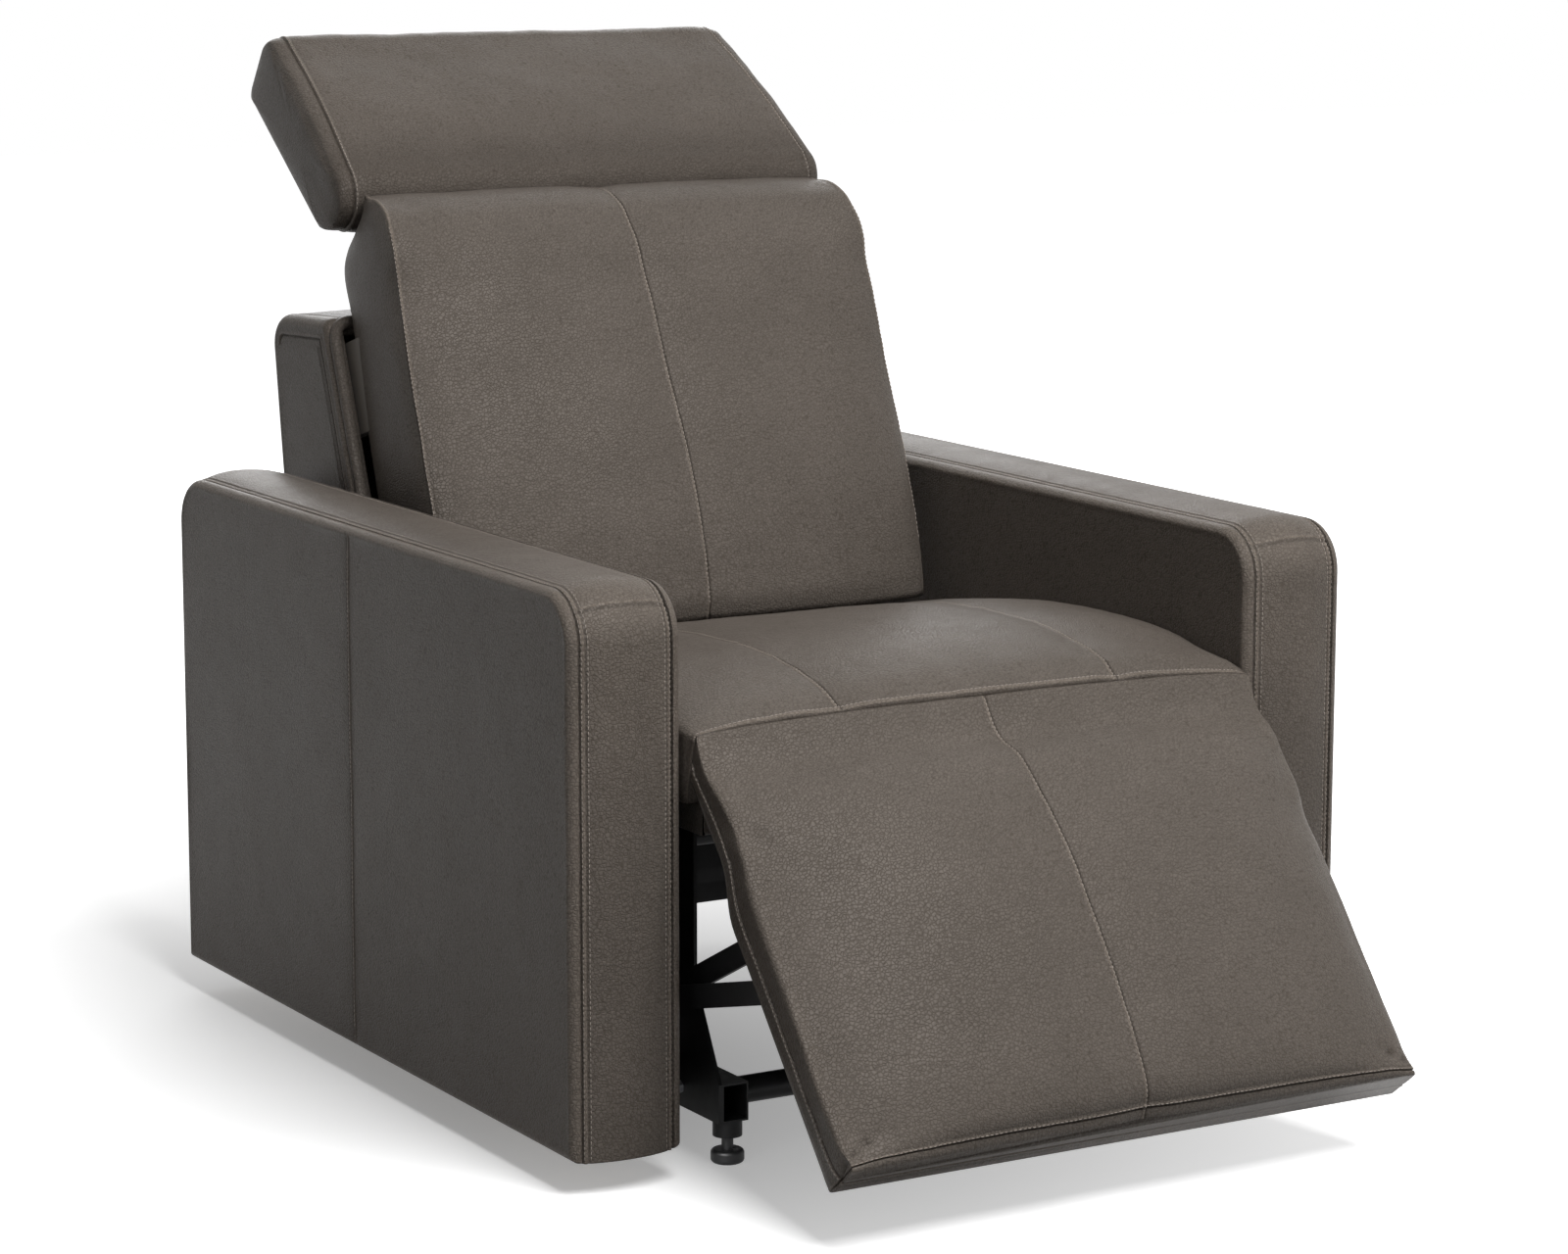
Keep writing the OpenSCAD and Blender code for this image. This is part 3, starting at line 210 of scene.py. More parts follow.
class Relief:
    """What a cover adds to its form: heights along the normals, painted shade in grooves and creases
    (groove) and painted highlights on ridges and rolled edges (lift).
    """

    def __init__(self, height):
        self.height = height
        self.groove, self.lift = np.zeros(height.shape), np.zeros(height.shape)

    def sew(self, dist, section, dark=1.0, dark_w=1.5, light=1.0, at=2.8, light_w=1.7, share=1.0):
        """Adds a lap seam, with painted shade in its groove and a painted highlight on its lap, by every
        point's distance from it.
        """
        self.height = self.height + lap(dist, *section) * share
        self.groove = self.groove + dark * gauss(dist, dark_w)
        self.lift = self.lift + light * ridge(dist, at, light_w)

    def tone(self):
        return 0.5 - 0.42 * np.clip(self.groove, 0, 1) + 0.35 * np.clip(self.lift, 0, 1)


# Materials

def feed(tree, n, inputs):
    """Links or sets the inputs of a node, by their names or numbers."""
    for key, value in inputs.items():
        if isinstance(value, bpy.types.NodeSocket):
            tree.links.new(value, n.inputs[key])
        else:
            n.inputs[key].default_value = value


def node(tree, kind, inputs=None, **values):
    """Adds a node with its settings, and then its inputs."""
    n = tree.nodes.new("ShaderNode" + kind)
    for key, value in values.items():
        setattr(n, key, value)
    feed(tree, n, inputs or {})
    return n


def new_material(name):
    m = bpy.data.materials.new(name)
    m.use_nodes = True
    m.node_tree.nodes.clear()
    return m, m.node_tree


def surface(tree, inputs):
    """Ends a material with one principled surface."""
    bsdf = node(tree, "BsdfPrincipled", inputs)
    node(tree, "OutputMaterial", {0: bsdf.outputs[0]})


def coords(tree, scale=(1, 1, 1)):
    place = node(tree, "TexCoord").outputs["Object"]
    return node(tree, "Mapping", {"Scale": scale, "Vector": place}).outputs["Vector"]


def grain(tree, vec, scale, detail, rough):
    inputs = {"Scale": scale, "Detail": detail, "Roughness": rough, "Vector": vec}
    return node(tree, "TexNoise", inputs).outputs["Fac"]


def ramp(tree, fac, stops):
    r = node(tree, "ValToRGB", {"Fac": fac})
    elements = r.color_ramp.elements
    for k, (place, color) in enumerate((stops[0], stops[-1])):
        elements[k].position, elements[k].color = place, (*color, 1)
    for place, color in stops[1:-1]:
        elements.new(place).color = (*color, 1)
    return r.outputs["Color"]


def span(tree, fac, low, high):
    n = node(tree, "MapRange", {"To Min": low, "To Max": high, "Value": fac})
    return n.outputs["Result"]


def bump(tree, height, distance, strength, under=None):
    b = node(tree, "Bump", {"Distance": distance, "Strength": strength, "Height": height})
    if under is not None:
        feed(tree, b, {"Normal": under})
    return b.outputs["Normal"]


def multiply(tree, a, b):
    inputs = {"Factor": 1.0, "A": a, "B": b}
    return node(tree, "Mix", inputs, data_type="RGBA", blend_type="MULTIPLY").outputs["Result"]


def scaled(color, share):
    return tuple(min(1, c * share) for c in color)


# Brown-grey leather: the tones of its mottling, then shares of them for specks, for the painted shade and
# painted highlights that the tone attribute carries and for the creases of the grain, and the height of its
# pebbles
HIDE = [(0.34, (0.0938, 0.081, 0.0702)), (0.5, (0.0996, 0.086, 0.0748)), (0.66, (0.1054, 0.091, 0.0794))]
SPECKLE = [(0.33, (0.86, 0.85, 0.84)), (0.67, (1.13, 1.13, 1.12))]
PAINTED_SHADE_AND_HIGHLIGHT = [(0.0, (0.42, 0.40, 0.38)), (0.5, (1, 1, 1)), (1.0, (1.75, 1.72, 1.68))]
PEBBLE = [(0.0, (0, 0, 0)), (0.14, (0.75, 0.75, 0.75)), (0.5, (1, 1, 1))]
CREASE = [(0.0, (0.66, 0.64, 0.62)), (0.8, (1.0, 1.0, 1.0)), (1.0, (1.08, 1.08, 1.08))]
WOBBLE = (0.0016, 0.0016, 0.0016)


def leather(name):
    """Upholstery leather: pebble grain, soft mottling, painted shade in seams and creases and painted
    highlights on ridges and rolled edges.
    """
    m, tree = new_material(name)
    vec = coords(tree)
    tone = node(tree, "Attribute", attribute_name="tone").outputs["Fac"]
    color = multiply(tree, ramp(tree, grain(tree, vec, 9, 5, 0.6), HIDE),
                     ramp(tree, grain(tree, vec, 310, 3, 0.65), SPECKLE))
    # The tone attribute multiplies in painted shade (low tone) and painted highlights (high tone).
    color = multiply(tree, color, ramp(tree, tone, PAINTED_SHADE_AND_HIGHLIGHT))
    wobble = node(tree, "TexNoise", {"Scale": 160, "Vector": vec}).outputs["Color"]
    moved = node(tree, "VectorMath", {0: wobble, 1: WOBBLE, 2: vec}, operation="MULTIPLY_ADD")
    cell = node(tree, "TexVoronoi", {"Scale": 270, "Vector": moved.outputs[0]},
                feature="DISTANCE_TO_EDGE")
    pebble = ramp(tree, cell.outputs["Distance"], PEBBLE)
    swell = bump(tree, grain(tree, vec, 55, 3, 0.5), 0.0009, 0.5)
    surface(tree, {"Base Color": multiply(tree, color, ramp(tree, pebble, CREASE)),
                   "Roughness": span(tree, grain(tree, vec, 30, 4, 0.6), 0.32, 0.46),
                   "IOR": 1.15, "Specular IOR Level": 0.6, "Specular Tint": (1.0, 0.93, 0.87, 1),
                   "Normal": bump(tree, pebble, 0.0004, 1.0, swell)})
    return m


def steel(name, color, rough, metallic=0.0, shine=0.5):
    """Powder-coated or bare steel with an orange-peel skin and rubbed patches."""
    m, tree = new_material(name)
    vec = coords(tree)
    stops = [(0.35, scaled(color, 0.75)), (0.5, color), (0.72, scaled(color, 1.35))]
    surface(tree, {"Base Color": ramp(tree, grain(tree, vec, 22, 5, 0.65), stops),
                   "Roughness": span(tree, grain(tree, vec, 70, 4, 0.6), rough - 0.1, rough + 0.1),
                   "Metallic": metallic, "Specular IOR Level": shine,
                   "Normal": bump(tree, grain(tree, vec, 900, 2, 0.5), 0.0001, 0.6)})
    return m


def wood(name, brightness=1.0):
    """Plywood and beech with grain along the rails, pale or darkened."""
    m, tree = new_material(name)
    fibre = grain(tree, coords(tree, (1, 0.12, 1)), 120, 6, 0.7)
    tints = [(0.3, (0.36, 0.24, 0.13)), (0.55, (0.52, 0.38, 0.23)), (0.75, (0.60, 0.46, 0.29))]
    surface(tree, {"Base Color": ramp(tree, fibre, [(p, scaled(col, brightness)) for p, col in tints]),
                   "Roughness": span(tree, fibre, 0.55, 0.75), "Normal": bump(tree, fibre, 0.0003, 0.6)})
    return m


def cloth(name, color, pitch):
    """Woven webbing or lining: two crossing waves for the yarns."""
    m, tree = new_material(name)
    inputs = {"Scale": 0.3 / pitch, "Distortion": 0.6, "Detail": 1, "Vector": coords(tree)}
    waves = [node(tree, "TexWave", inputs, bands_direction=axis).outputs["Fac"] for axis in "XY"]
    both = node(tree, "Math", {0: waves[0], 1: waves[1]}, operation="MULTIPLY").outputs[0]
    surface(tree, {"Base Color": ramp(tree, both, [(0.1, scaled(color, 0.6)), (0.9, scaled(color, 1.4))]),
                   "Roughness": 0.9, "Normal": bump(tree, both, 0.0004, 0.7)})
    return m


LEATHER = leather("leather_taupe")
THREAD = steel("thread_taupe", (0.24, 0.205, 0.175), 0.6)
BLACK = steel("steel_black", (0.006, 0.006, 0.0065), 0.45, shine=0.2)
BOLT = steel("bolt_zinc", (0.42, 0.43, 0.45), 0.32, metallic=0.9)
METAL = steel("button_brushed", (0.60, 0.60, 0.62), 0.28, metallic=1.0)
PLASTIC = steel("plastic_black", (0.018, 0.018, 0.02), 0.5)
TIMBER = wood("timber_pale")
# Near-black timber, painted shade for the back board in the shell's dark gap.
TIMBER_DARK_AS_SHADE = wood("timber_darkened_as_shade", 0.05)
WEBBING = cloth("webbing_dark", (0.035, 0.035, 0.038), 0.0016)
LINING = cloth("lining_black", (0.012, 0.012, 0.013), 0.0011)
BY_SLOT = {"leather": LEATHER, "black_steel": BLACK, "bolt_steel": BOLT, "timber": TIMBER,
           "webbing": WEBBING, "black_plastic": PLASTIC, "button_metal": METAL}

slots = {entry["node"]: entry["material_slot"] for entry in frame["record"]["subparts"]}
for name, obj in frame["nodes"].items():
    obj.data.materials.clear()
    # The back board takes the near-black timber, painted shade in the gap of the shell.
    obj.data.materials.append(TIMBER_DARK_AS_SHADE if name == "back_board" else BY_SLOT[slots[name]])


# Mesh building

def quads_of(a, b):
    """Quads between neighbouring rows of indices, where b holds each point's neighbour in a."""
    return np.stack([a[:-1], b[:-1], b[1:], a[1:]], axis=-1).reshape(-1, 4)


def arc(p, axis):
    """Distance along the rows or columns of a grid from its start."""
    d = np.linalg.norm(np.diff(p, axis=axis), axis=2)
    pad = [(1, 0), (0, 0)] if axis == 0 else [(0, 0), (1, 0)]
    return np.pad(np.cumsum(d, axis=axis), pad)


def normals(p, around=False):
    """Unit normals of a grid of points, away from its middle. around joins its last column to its first."""
    if around:
        step = np.roll(p, -1, axis=1) - np.roll(p, 1, axis=1)
    else:
        step = np.gradient(p, axis=1)
    n = unit(np.cross(step, np.gradient(p, axis=0)))
    return n if ((p - p.mean(axis=(0, 1))) * n).sum() >= 0 else -n


def facing_in(p, n):
    """True where quads wound along the rows of a grid face against its normals."""
    r, c = p.shape[0] // 2, p.shape[1] // 2
    return float(np.cross(p[r, c + 1] - p[r, c], p[r + 1, c] - p[r, c]) @ n[r, c]) <= 0


class Shape:
    """Collects grids of points, in chair millimetres, into one mesh."""

    def __init__(self):
        self.verts, self.faces, self.tones, self.mats = [], [], [], []
        self.count = 0

    def points(self, p, tone=None):
        p = np.asarray(p, float).reshape(-1, 3)
        start = self.count
        self.verts.append(p)
        self.tones.append(np.full(len(p), 0.5) if tone is None else np.clip(tone, 0, 1).ravel())
        self.count += len(p)
        return start

    def quads(self, q, flip=False, mat=0):
        self.faces.extend((q[:, ::-1] if flip else q).tolist())
        self.mats.extend([mat] * len(q))

    def cap(self, loop, flip=False):
        """One flat face on a loop of points that are there already."""
        loop = [int(i) for i in loop]
        self.faces.append(loop[::-1] if flip else loop)
        self.mats.append(0)

    def grid(self, p, tone=None, around=False, flip=False):
        """Quads over a grid of points; around joins the last column to the first."""
        idx = self.points(p, tone) + np.arange(p.shape[0] * p.shape[1]).reshape(p.shape[:2])
        if around:
            self.quads(quads_of(idx, np.roll(idx, -1, axis=1)), flip)
        else:
            self.quads(quads_of(idx[:, :-1], idx[:, 1:]), flip)
        return idx

    def roll(self, p, n, tone=None):
        """A grid closed around, with flat caps on its first and last rows, facing along its normals."""
        flip = facing_in(p, n)
        idx = self.grid(p, tone, True, flip)
        self.cap(idx[0], flip=not flip)
        self.cap(idx[-1], flip=flip)

    def make(self, name, body, mats=(LEATHER, THREAD), replaces=(), blend=None):
        me = bpy.data.meshes.new(name)
        me.from_pydata(to_frame(np.concatenate(self.verts)), [], self.faces)
        for m in mats:
            me.materials.append(m)
        me.polygons.foreach_set("use_smooth", np.ones(len(self.faces), bool))
        me.polygons.foreach_set("material_index", np.array(self.mats, np.int32))
        tone = me.attributes.new("tone", "FLOAT", "POINT")
        tone.data.foreach_set("value", np.concatenate(self.tones).astype(np.float32))
        me.validate()
        me.update()
        o = add_object(name, me)
        if blend:
            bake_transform(o)
        else:
            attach(o, body)
        if replaces:
            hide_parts(*replaces)
        return o


# Stitches beside a seam: their distance from it, pitch, length and radius
SEW, PITCH, STITCH_LEN, STITCH_R = 3.4, 5.2, 3.4, 0.42
# Rings of a stitch: place along it, share of its radius and rise
STITCH_RINGS = [(-0.5, 0.35, -0.4), (-0.36, 0.9, 0.0), (0, 1.0, 0.25), (0.36, 0.9, 0.0), (0.5, 0.35, -0.4)]


def stitches(shape, path, normal, rise=0.15):
    """Sewn stitches as small capsules along a line of points."""
    path = path + normal * rise
    run = lengths(path)
    at = np.arange(PITCH, run[-1] - PITCH, PITCH)
    if len(at) < 2:
        return
    middle, up = along(path, run, at), unit(along(normal, run, at))
    ahead = unit(along(path, run, at + 1) - along(path, run, at - 1))
    side = np.cross(up, ahead)
    angles = np.arange(6) * np.pi / 3
    rings = []
    for place, share, lift in STITCH_RINGS:
        r = STITCH_R * share
        ring = [middle + ahead * place * STITCH_LEN + side * math.cos(a) * r
                + up * (math.sin(a) * r + lift * STITCH_R) for a in angles]
        rings.append(np.stack(ring, 1))
    p = np.stack(rings)
    idx = shape.points(p) + np.arange(p[..., 0].size).reshape(p.shape[:3])
    shape.quads(quads_of(idx, np.roll(idx, -1, axis=2)), mat=1)


# Cushions: spacing of their points, and of the coarser cloth that swells them
STEP, CLOTH_STEP = 8.5, 17
# The cloth's largest move, the share of it that is used, and how near a seam it is held
PUFF_CAP, PUFF_SHARE, HELD_REACH, CLOTH_FRAMES = 24, 0.22, 5, 20


def cloth_object(p, held):
    """A closed cushion of cloth under pressure, pinned by the weights in held."""
    rows, cols = p.shape[:2]
    idx = np.arange(rows * cols).reshape(rows, cols)
    q = quads_of(idx[:, :-1], idx[:, 1:]).tolist() + quads_of(idx[:, -1], idx[:, 0]).tolist()
    q += [idx[0, ::-1].tolist(), idx[-1].tolist()]
    me = bpy.data.meshes.new("puff")
    me.from_pydata((p.reshape(-1, 3) / 1000).tolist(), [], q)
    o = add_object("puff", me)
    group = o.vertex_groups.new(name="held")
    for i, weight in enumerate(held.ravel()):
        if weight > 0:
            group.add([i], float(weight), "REPLACE")
    mod = o.modifiers.new("cloth", "CLOTH")
    s = mod.settings
    s.quality = 6
    s.mass = 0.35
    s.tension_stiffness = s.compression_stiffness = s.shear_stiffness = 18
    s.bending_stiffness = 0.6
    s.use_pressure = True
    s.uniform_pressure_force = 4
    s.vertex_group_mass = "held"
    s.effector_weights.gravity = 0
    mod.collision_settings.use_collision = False
    return o


def puff(p, held):
    """Swells a grid of points as cloth does on a coarser copy. held is 1 at the points that stay."""
    rows, cols = p.shape[:2]
    runs = [arc(p[:, cols // 2:cols // 2 + 1], 0)[:, 0], arc(p[rows // 2:rows // 2 + 1], 1)[0]]
    picks = []
    for run in runs:
        want = np.linspace(0, run[-1], max(8, round(run[-1] / CLOTH_STEP)) + 1)
        picks.append(np.unique([int(abs(run - w).argmin()) for w in want]))
    coarse, weight = p[np.ix_(*picks)], held[np.ix_(*picks)]
    o = cloth_object(coarse, weight)
    scene = bpy.context.scene
    for f in range(1, CLOTH_FRAMES + 1):
        scene.frame_set(f)
    swollen = o.evaluated_get(bpy.context.evaluated_depsgraph_get())
    co = np.empty(coarse.size, np.float32)
    swollen.data.vertices.foreach_get("co", co)
    scene.frame_set(1)
    bpy.data.objects.remove(o)
    d = co.reshape(coarse.shape).astype(float) * 1000 - coarse
    size = np.linalg.norm(d, axis=2)
    d *= (np.minimum(size, PUFF_CAP) / np.maximum(size, 1e-6))[..., None]
    d[weight >= 1] = 0
    few = d.shape[1]
    full = spline(runs[0][picks[0]], d.reshape(len(d), -1), runs[0]).reshape(rows, few, 3)
    full = spline(runs[1][picks[1]], full.transpose(1, 0, 2).reshape(few, -1), runs[1])
    return p + PUFF_SHARE * full.reshape(cols, rows, 3).transpose(1, 0, 2)


class Cushion:
    """Crowned form between a rear line and a crown line, drawn in at its sides.

    A row of its table is a key along it, the rear and the crown there, half the width, and the share of
    the depth that the edge has. Its columns follow q: 0 in the middle, 1 at the edge of the crown and 2
    at the rear line. s and x are the distances along and across its surface.
    """

    def __init__(self, table, draw, seams, row_fine=(), side_fine=(), round_off=(3, 0.6)):
        keys, rear, crown, half, edge = zip(*table)
        key = np.linspace(keys[0], keys[-1], 1500)
        down = lengths(spline(keys, crown, key))
        fine = [(np.interp(k, key, down), reach, gap) for k, reach, gap in row_fine]
        rows = marks(0, down[-1], STEP, fine)
        self.s_of = lambda k: float(np.interp(k, key, down))
        self.s = rows[:, None]
        row_keys = np.interp(rows, down, key)
        self.rear, self.crown = spline(keys, rear, row_keys), spline(keys, crown, row_keys)
        self.half, self.edge = spline(keys, half, row_keys), spline(keys, edge, row_keys)
        self.draw, self.round_off = draw, round_off
        q = np.linspace(-2, 2, 4001)
        across = lengths(self.section(q)[len(rows) // 2])
        across -= across[len(q) // 2]
        self.x_of_q = lambda k: float(np.interp(k, q, across))
        places = [(k, 8, 0.75) for k in seams] + list(side_fine)
        places = [(self.x_of_q(k), reach, gap) for k, reach, gap in places]
        self.q = np.interp(marks(across[0], across[-1], STEP, places), across, q)
        self.p = self.section(self.q)
        self.measure()

    def section(self, q):
        a = np.abs(q)[None]
        sx = np.sin(np.pi / 2 * np.minimum(a, 1))
        e, w = self.edge[:, None], self.half[:, None]
        full, soft = self.round_off
        h = np.where(a <= 1, e + (1 - e) * (1 - sx**full) ** soft, e * (2 - a))
        x = np.sign(q)[None] * np.where(a <= 1, w * sx, w - self.draw * (np.maximum(a, 1) - 1) ** 4)
        yz = self.rear[:, None] + (self.crown - self.rear)[:, None] * h[..., None]
        return np.concatenate([x[..., None], yz], axis=2)

    def measure(self):
        run = arc(self.p, 1)
        middle = self.column(0)
        self.x = run - run[:, middle:middle + 1]
        self.n = normals(self.p)

    def column(self, q):
        return int(abs(self.q - q).argmin())

    def line_x(self, q):
        """Distance across to a seam that runs along the cushion, row by row."""
        i = self.column(q)
        return self.x[:, i:i + 1]

    def swell(self, side_q, seams):
        """Puffs the cushion, held at its ends, at its seams and past side_q on its sides."""
        held = np.zeros(self.p.shape[:2])
        held[[0, -1]] = 1
        held[:, np.abs(self.q) > side_q] = 1
        for q in seams:
            held[np.abs(self.x - self.line_x(q)) < HELD_REACH] = 1
        self.p = puff(self.p, held)
        self.measure()

    def skin(self, seed, soft=1.5, small=0.35, size=95):
        """Slow dents and small ripples of the leather over its padding."""
        s, x = self.s, self.x
        return Relief(soft * noise(s / size + 3, x / (size * 1.2) + 7, seed)
                      + 0.45 * soft * noise(s / (0.4 * size), x / (0.45 * size), seed + 1)
                      + small * noise(s / 17, x / 19, seed + 2))

    def painted_roll_highlight(self, q, width, amount):
        """Painted highlight along the rolled edges, in patches."""
        patches = 0.75 + 0.25 * noise(self.s / 70, self.x / 60, 99)
        return amount * gauss(np.abs(self.q) - q, width)[None] * patches

    def stitch_along(self, shape, q, offset, skip):
        """Topstitch beside a seam that runs along the cushion, without skip's rows at its ends."""
        rows = slice(skip[0], len(self.s) - skip[1])
        col = int(np.median(np.abs(self.x - self.line_x(q) - offset).argmin(axis=1)))
        stitches(shape, self.p[rows, col], self.n[rows, col])

    def stitch_across(self, shape, s):
        row = int(abs(self.s[:, 0] - s).argmin())
        cols = slice(self.column(-0.99), self.column(0.99))
        stitches(shape, self.p[row, cols], self.n[row, cols])

    def cover(self, relief, fade_q, fade_w, name, body, replaces, fill, seams, cross=(), blend=None):
        """Raises the relief, which fades past fade_q on the sides, and makes the cover with its stitches."""
        share = 1 - np.clip((np.abs(self.q) - fade_q) / fade_w, 0, 1)
        self.p = self.p + self.n * (relief.height * share)[..., None]
        self.measure()
        shape = Shape()
        shape.roll(self.p, self.n, relief.tone())
        for q, offset, skip in seams:
            self.stitch_along(shape, q, offset, skip)
        for s in cross:
            self.stitch_across(shape, s)
        return shape.make(name, body, replaces=replaces, blend=blend)


def pucker(d, amount, seed, place, reach=17, pitch=21):
    """Short gathers that start at a seam: d is the distance from it, and place is where along it."""
    return amount * noise(place / pitch, d / 70 + 5, seed) * fade(d, reach, 1.2)


# Seat cushion: two seams from front to rear, and the cross seam where the legrest's cover starts
SEAT_FRONT, SEAM_Z, SEAT_UNDER_Y, SEAT_Z = -19, 462, 9, 378.3
SEAT_RISE, SEAT_LEN, SEAT_HALF, SEAT_SEAM_Q = 120.7, 549, 333, 1 / 3
# Shares of the length, the rise and the height of the edge
SEAT_SHARES = [(0.05, .83, .74), (0.13, .93, .68), (0.24, .99, .74), (0.40, 1, .77), (0.56, .96, .8),
               (0.76, .83, .83), (0.90, .70, .86), (0.975, .60, .88), (1, .52, .9)]


def seat_cover():
    table = [(0.0, (SEAT_UNDER_Y, SEAT_Z), (SEAT_FRONT, SEAM_Z), SEAT_HALF - 4, 0.82)]
    for share, rise, edge in SEAT_SHARES:
        y = SEAT_FRONT + share * SEAT_LEN
        under = max(y, SEAT_UNDER_Y + share * SEAT_LEN / 4)
        table.append((share, (under, SEAT_Z), (y, SEAT_Z + SEAT_RISE * rise), SEAT_HALF, edge))
    seams = (-SEAT_SEAM_Q, SEAT_SEAM_Q)
    seat = Cushion(table, 4, seams, [(0.0, 14, 1.0)])
    seat.swell(1.0, seams)
    relief = seat.skin(11, 1.3)
    for q, seed in zip(seams, (21, 22)):
        across = seat.line_x(q) - seat.x
        relief.sew(across, (3.4, 20, 1.9, 1.0), dark_w=1.6, at=3.0, light_w=1.9)
        relief.height += pucker(across, 0.8, seed, seat.s)
    s = seat.s
    relief.height += -2.4 * gauss(s, 1.6) + 2.0 * ridge(s, 4.5, 3.4) - 2.2 * fade(s, 12)
    relief.height += pucker(s, 0.9, 23, seat.x, 26, 30)
    # Painted shade in the cross seam's groove and a painted highlight on its lap.
    relief.groove += gauss(s, 1.8)
    relief.lift += 0.8 * ridge(s, 4.5, 3.0)
    seat.cover(relief, 1, 0.6, "seat_cushion_cover", "base", ["seat_cushion"], 0.8,
               [(q, -SEW, (2, 2)) for q in seams], cross=[2 * SEW])


seat_cover()

# Cover of the legrest, in one piece from the seat's cross seam to the tip: the bridge from the seat by
# place and share of the crown, then the legrest by shares of the place, the rear, the crown and the edge
BRIDGE = [(16.2, .60, .62), (64.8, .83, .52), (113.4, .93, .48)]
LEG_SHARES = [(0, 0, .985, .46), (.12, 0, 1, .45), (.27, 0, .99, .45), (.45, 0, .96, .45),
              (.62, 0, .91, .45), (.76, 0, .86, .46), (.85, 0, .81, .48), (.92, 0, .74, .54),
              (.965, 0, .65, .68), (.99, .03, .54, .8), (1, .1, .44, .88)]
LEG_FROM, LEG_RUN, LEG_HEM, LEG_WRAP, LEG_HALF, LOW_SEAM_Q = 162.6, 290, 448.1, 12.7, 330, 1.52
# Fine gathers at the seat's end: their middle along and across, their reach and pitch
GATHER_AT, GATHER_REACH, GATHER_PITCH = (125, 306), (55, 40), 8.5
# Short seams over the lower corners, from this far up and in
CORNER_UP, CORNER_IN, CORNER_Q = 34, 62, 1.25
# Two points at the ends of the stretch of the cover between the base and the legrest; they are handed to the
# cover, which nothing here bends
BEND_FROM, BEND_TO = (-2, 408), leg_pt(150, 40)


def legrest_form():
    table = [(0.0, (0.4, 402.3), (SEAT_FRONT - 0.6, SEAM_Z - 0.3), LEG_HALF + 1, .8)]
    for s, crown, edge in BRIDGE:
        table.append((s, leg_pt(s, 0), leg_pt(s, LEG_THICK * crown - LEG_DROP), LEG_HALF, edge))
    for share, rear, crown, edge in LEG_SHARES:
        s = LEG_FROM + share * LEG_RUN
        behind = leg_pt(s, LEG_THICK * rear - LEG_DROP - LEG_WRAP)
        table.append((s, behind, leg_pt(s, LEG_THICK * crown - LEG_DROP), LEG_HALF, edge))
    side_fine = [(side * q, reach, gap) for q, reach, gap in ((LOW_SEAM_Q, 6, 0.75), (0.9, 40, 3.2))
                 for side in (-1, 1)]
    return Cushion(table, 3.0, [0.0], [(0.0, 12, 1.0), (LEG_HEM, 9, 0.8)], side_fine, (2.7, 0.55))


def legrest_cover():
    leg = legrest_form()
    leg.swell(1.5, [0])
    relief = leg.skin(31, 1.5, 0.3, 120)
    s, x = leg.s, leg.x
    across = leg.line_x(0) - x
    relief.sew(across, (3.2, 24, 1.7, 1.0), share=np.clip(s / 30, 0.25, 1))
    relief.height += pucker(across, 0.5, 33, s)
    for side in (-1, 1):
        relief.sew((x - leg.line_x(LOW_SEAM_Q * side)) * side, (0.8, 8, 1.2, 0.9), 0.8, 1.4)
        slope = (s - 105) * 0.75 + (side * x - 300)
        mask = gauss(s - GATHER_AT[0], GATHER_REACH[0]) * gauss(side * x - GATHER_AT[1], GATHER_REACH[1])
        fold = np.sin(slope / GATHER_PITCH + 1.1 * noise(s / 60, x / 60, 35))
        depth = 1.5 if side < 0 else 0.8
        relief.height += mask * depth * (np.abs(fold) ** 0.7 * np.sign(fold) - 0.5)
    tip = leg.s_of(LEG_HEM)
    relief.sew(tip - s, (1.6, 9, 1.7, 0.8), 1.0, 1.6, 0.8, 2.8, 1.8)
    for side in (-1, 1):
        corner = side * leg.x_of_q(CORNER_Q)
        dist = from_segment(s, x, (tip - CORNER_UP, corner - side * CORNER_IN), (tip, corner))
        relief.height += -1.7 * gauss(dist, 2.2) - 1.2 * fade(dist, 9, 1.3)
        # Painted shade in the groove of the corner seam.
        relief.groove += 0.9 * gauss(dist, 2.6)
    relief.height += -2.4 * gauss(s, 1.6) - 2.0 * fade(s, 14) + pucker(s, 0.7, 37, x, 26, 34)
    # Painted shade in the cross seam's groove, and painted highlights along the rolled sides.
    relief.groove += gauss(s, 1.8)
    relief.lift += leg.painted_roll_highlight(0.97, 0.13, 0.42)
    bend = [tuple(to_frame((0, *place)).tolist()) for place in (BEND_FROM, BEND_TO)]
    seams = [(0, -SEW, (2, 2))] + [(LOW_SEAM_Q * side, 3.2 * side, (6, 6)) for side in (-1, 1)]
    leg.cover(relief, 1.75, 0.2, "legrest_cover", None, ["chaise_pad", "legrest_cushion"], 0.85, seams,
              cross=[tip - SEW], blend=("base", "legrest", *bend))


legrest_cover()

# Back cushion: a key up it, the crown's place as a share of its length and the crown's height as a share of
# its thickness, and the edge as a share of the crown
BACK_SHARES = [(0, -.085, .915, .7), (.03, -.045, .98, .68), (.08, .02, 1, .68), (.19, .165, 1, .69),
               (.37, .37, .915, .72), (.57, .575, .785, .78), (.77, .78, .675, .86),
               (.92, .945, .565, .94), (.96, 1.005, .45, .95), (.985, 1.042, .27, .95), (1, 1.062, .08, .95)]
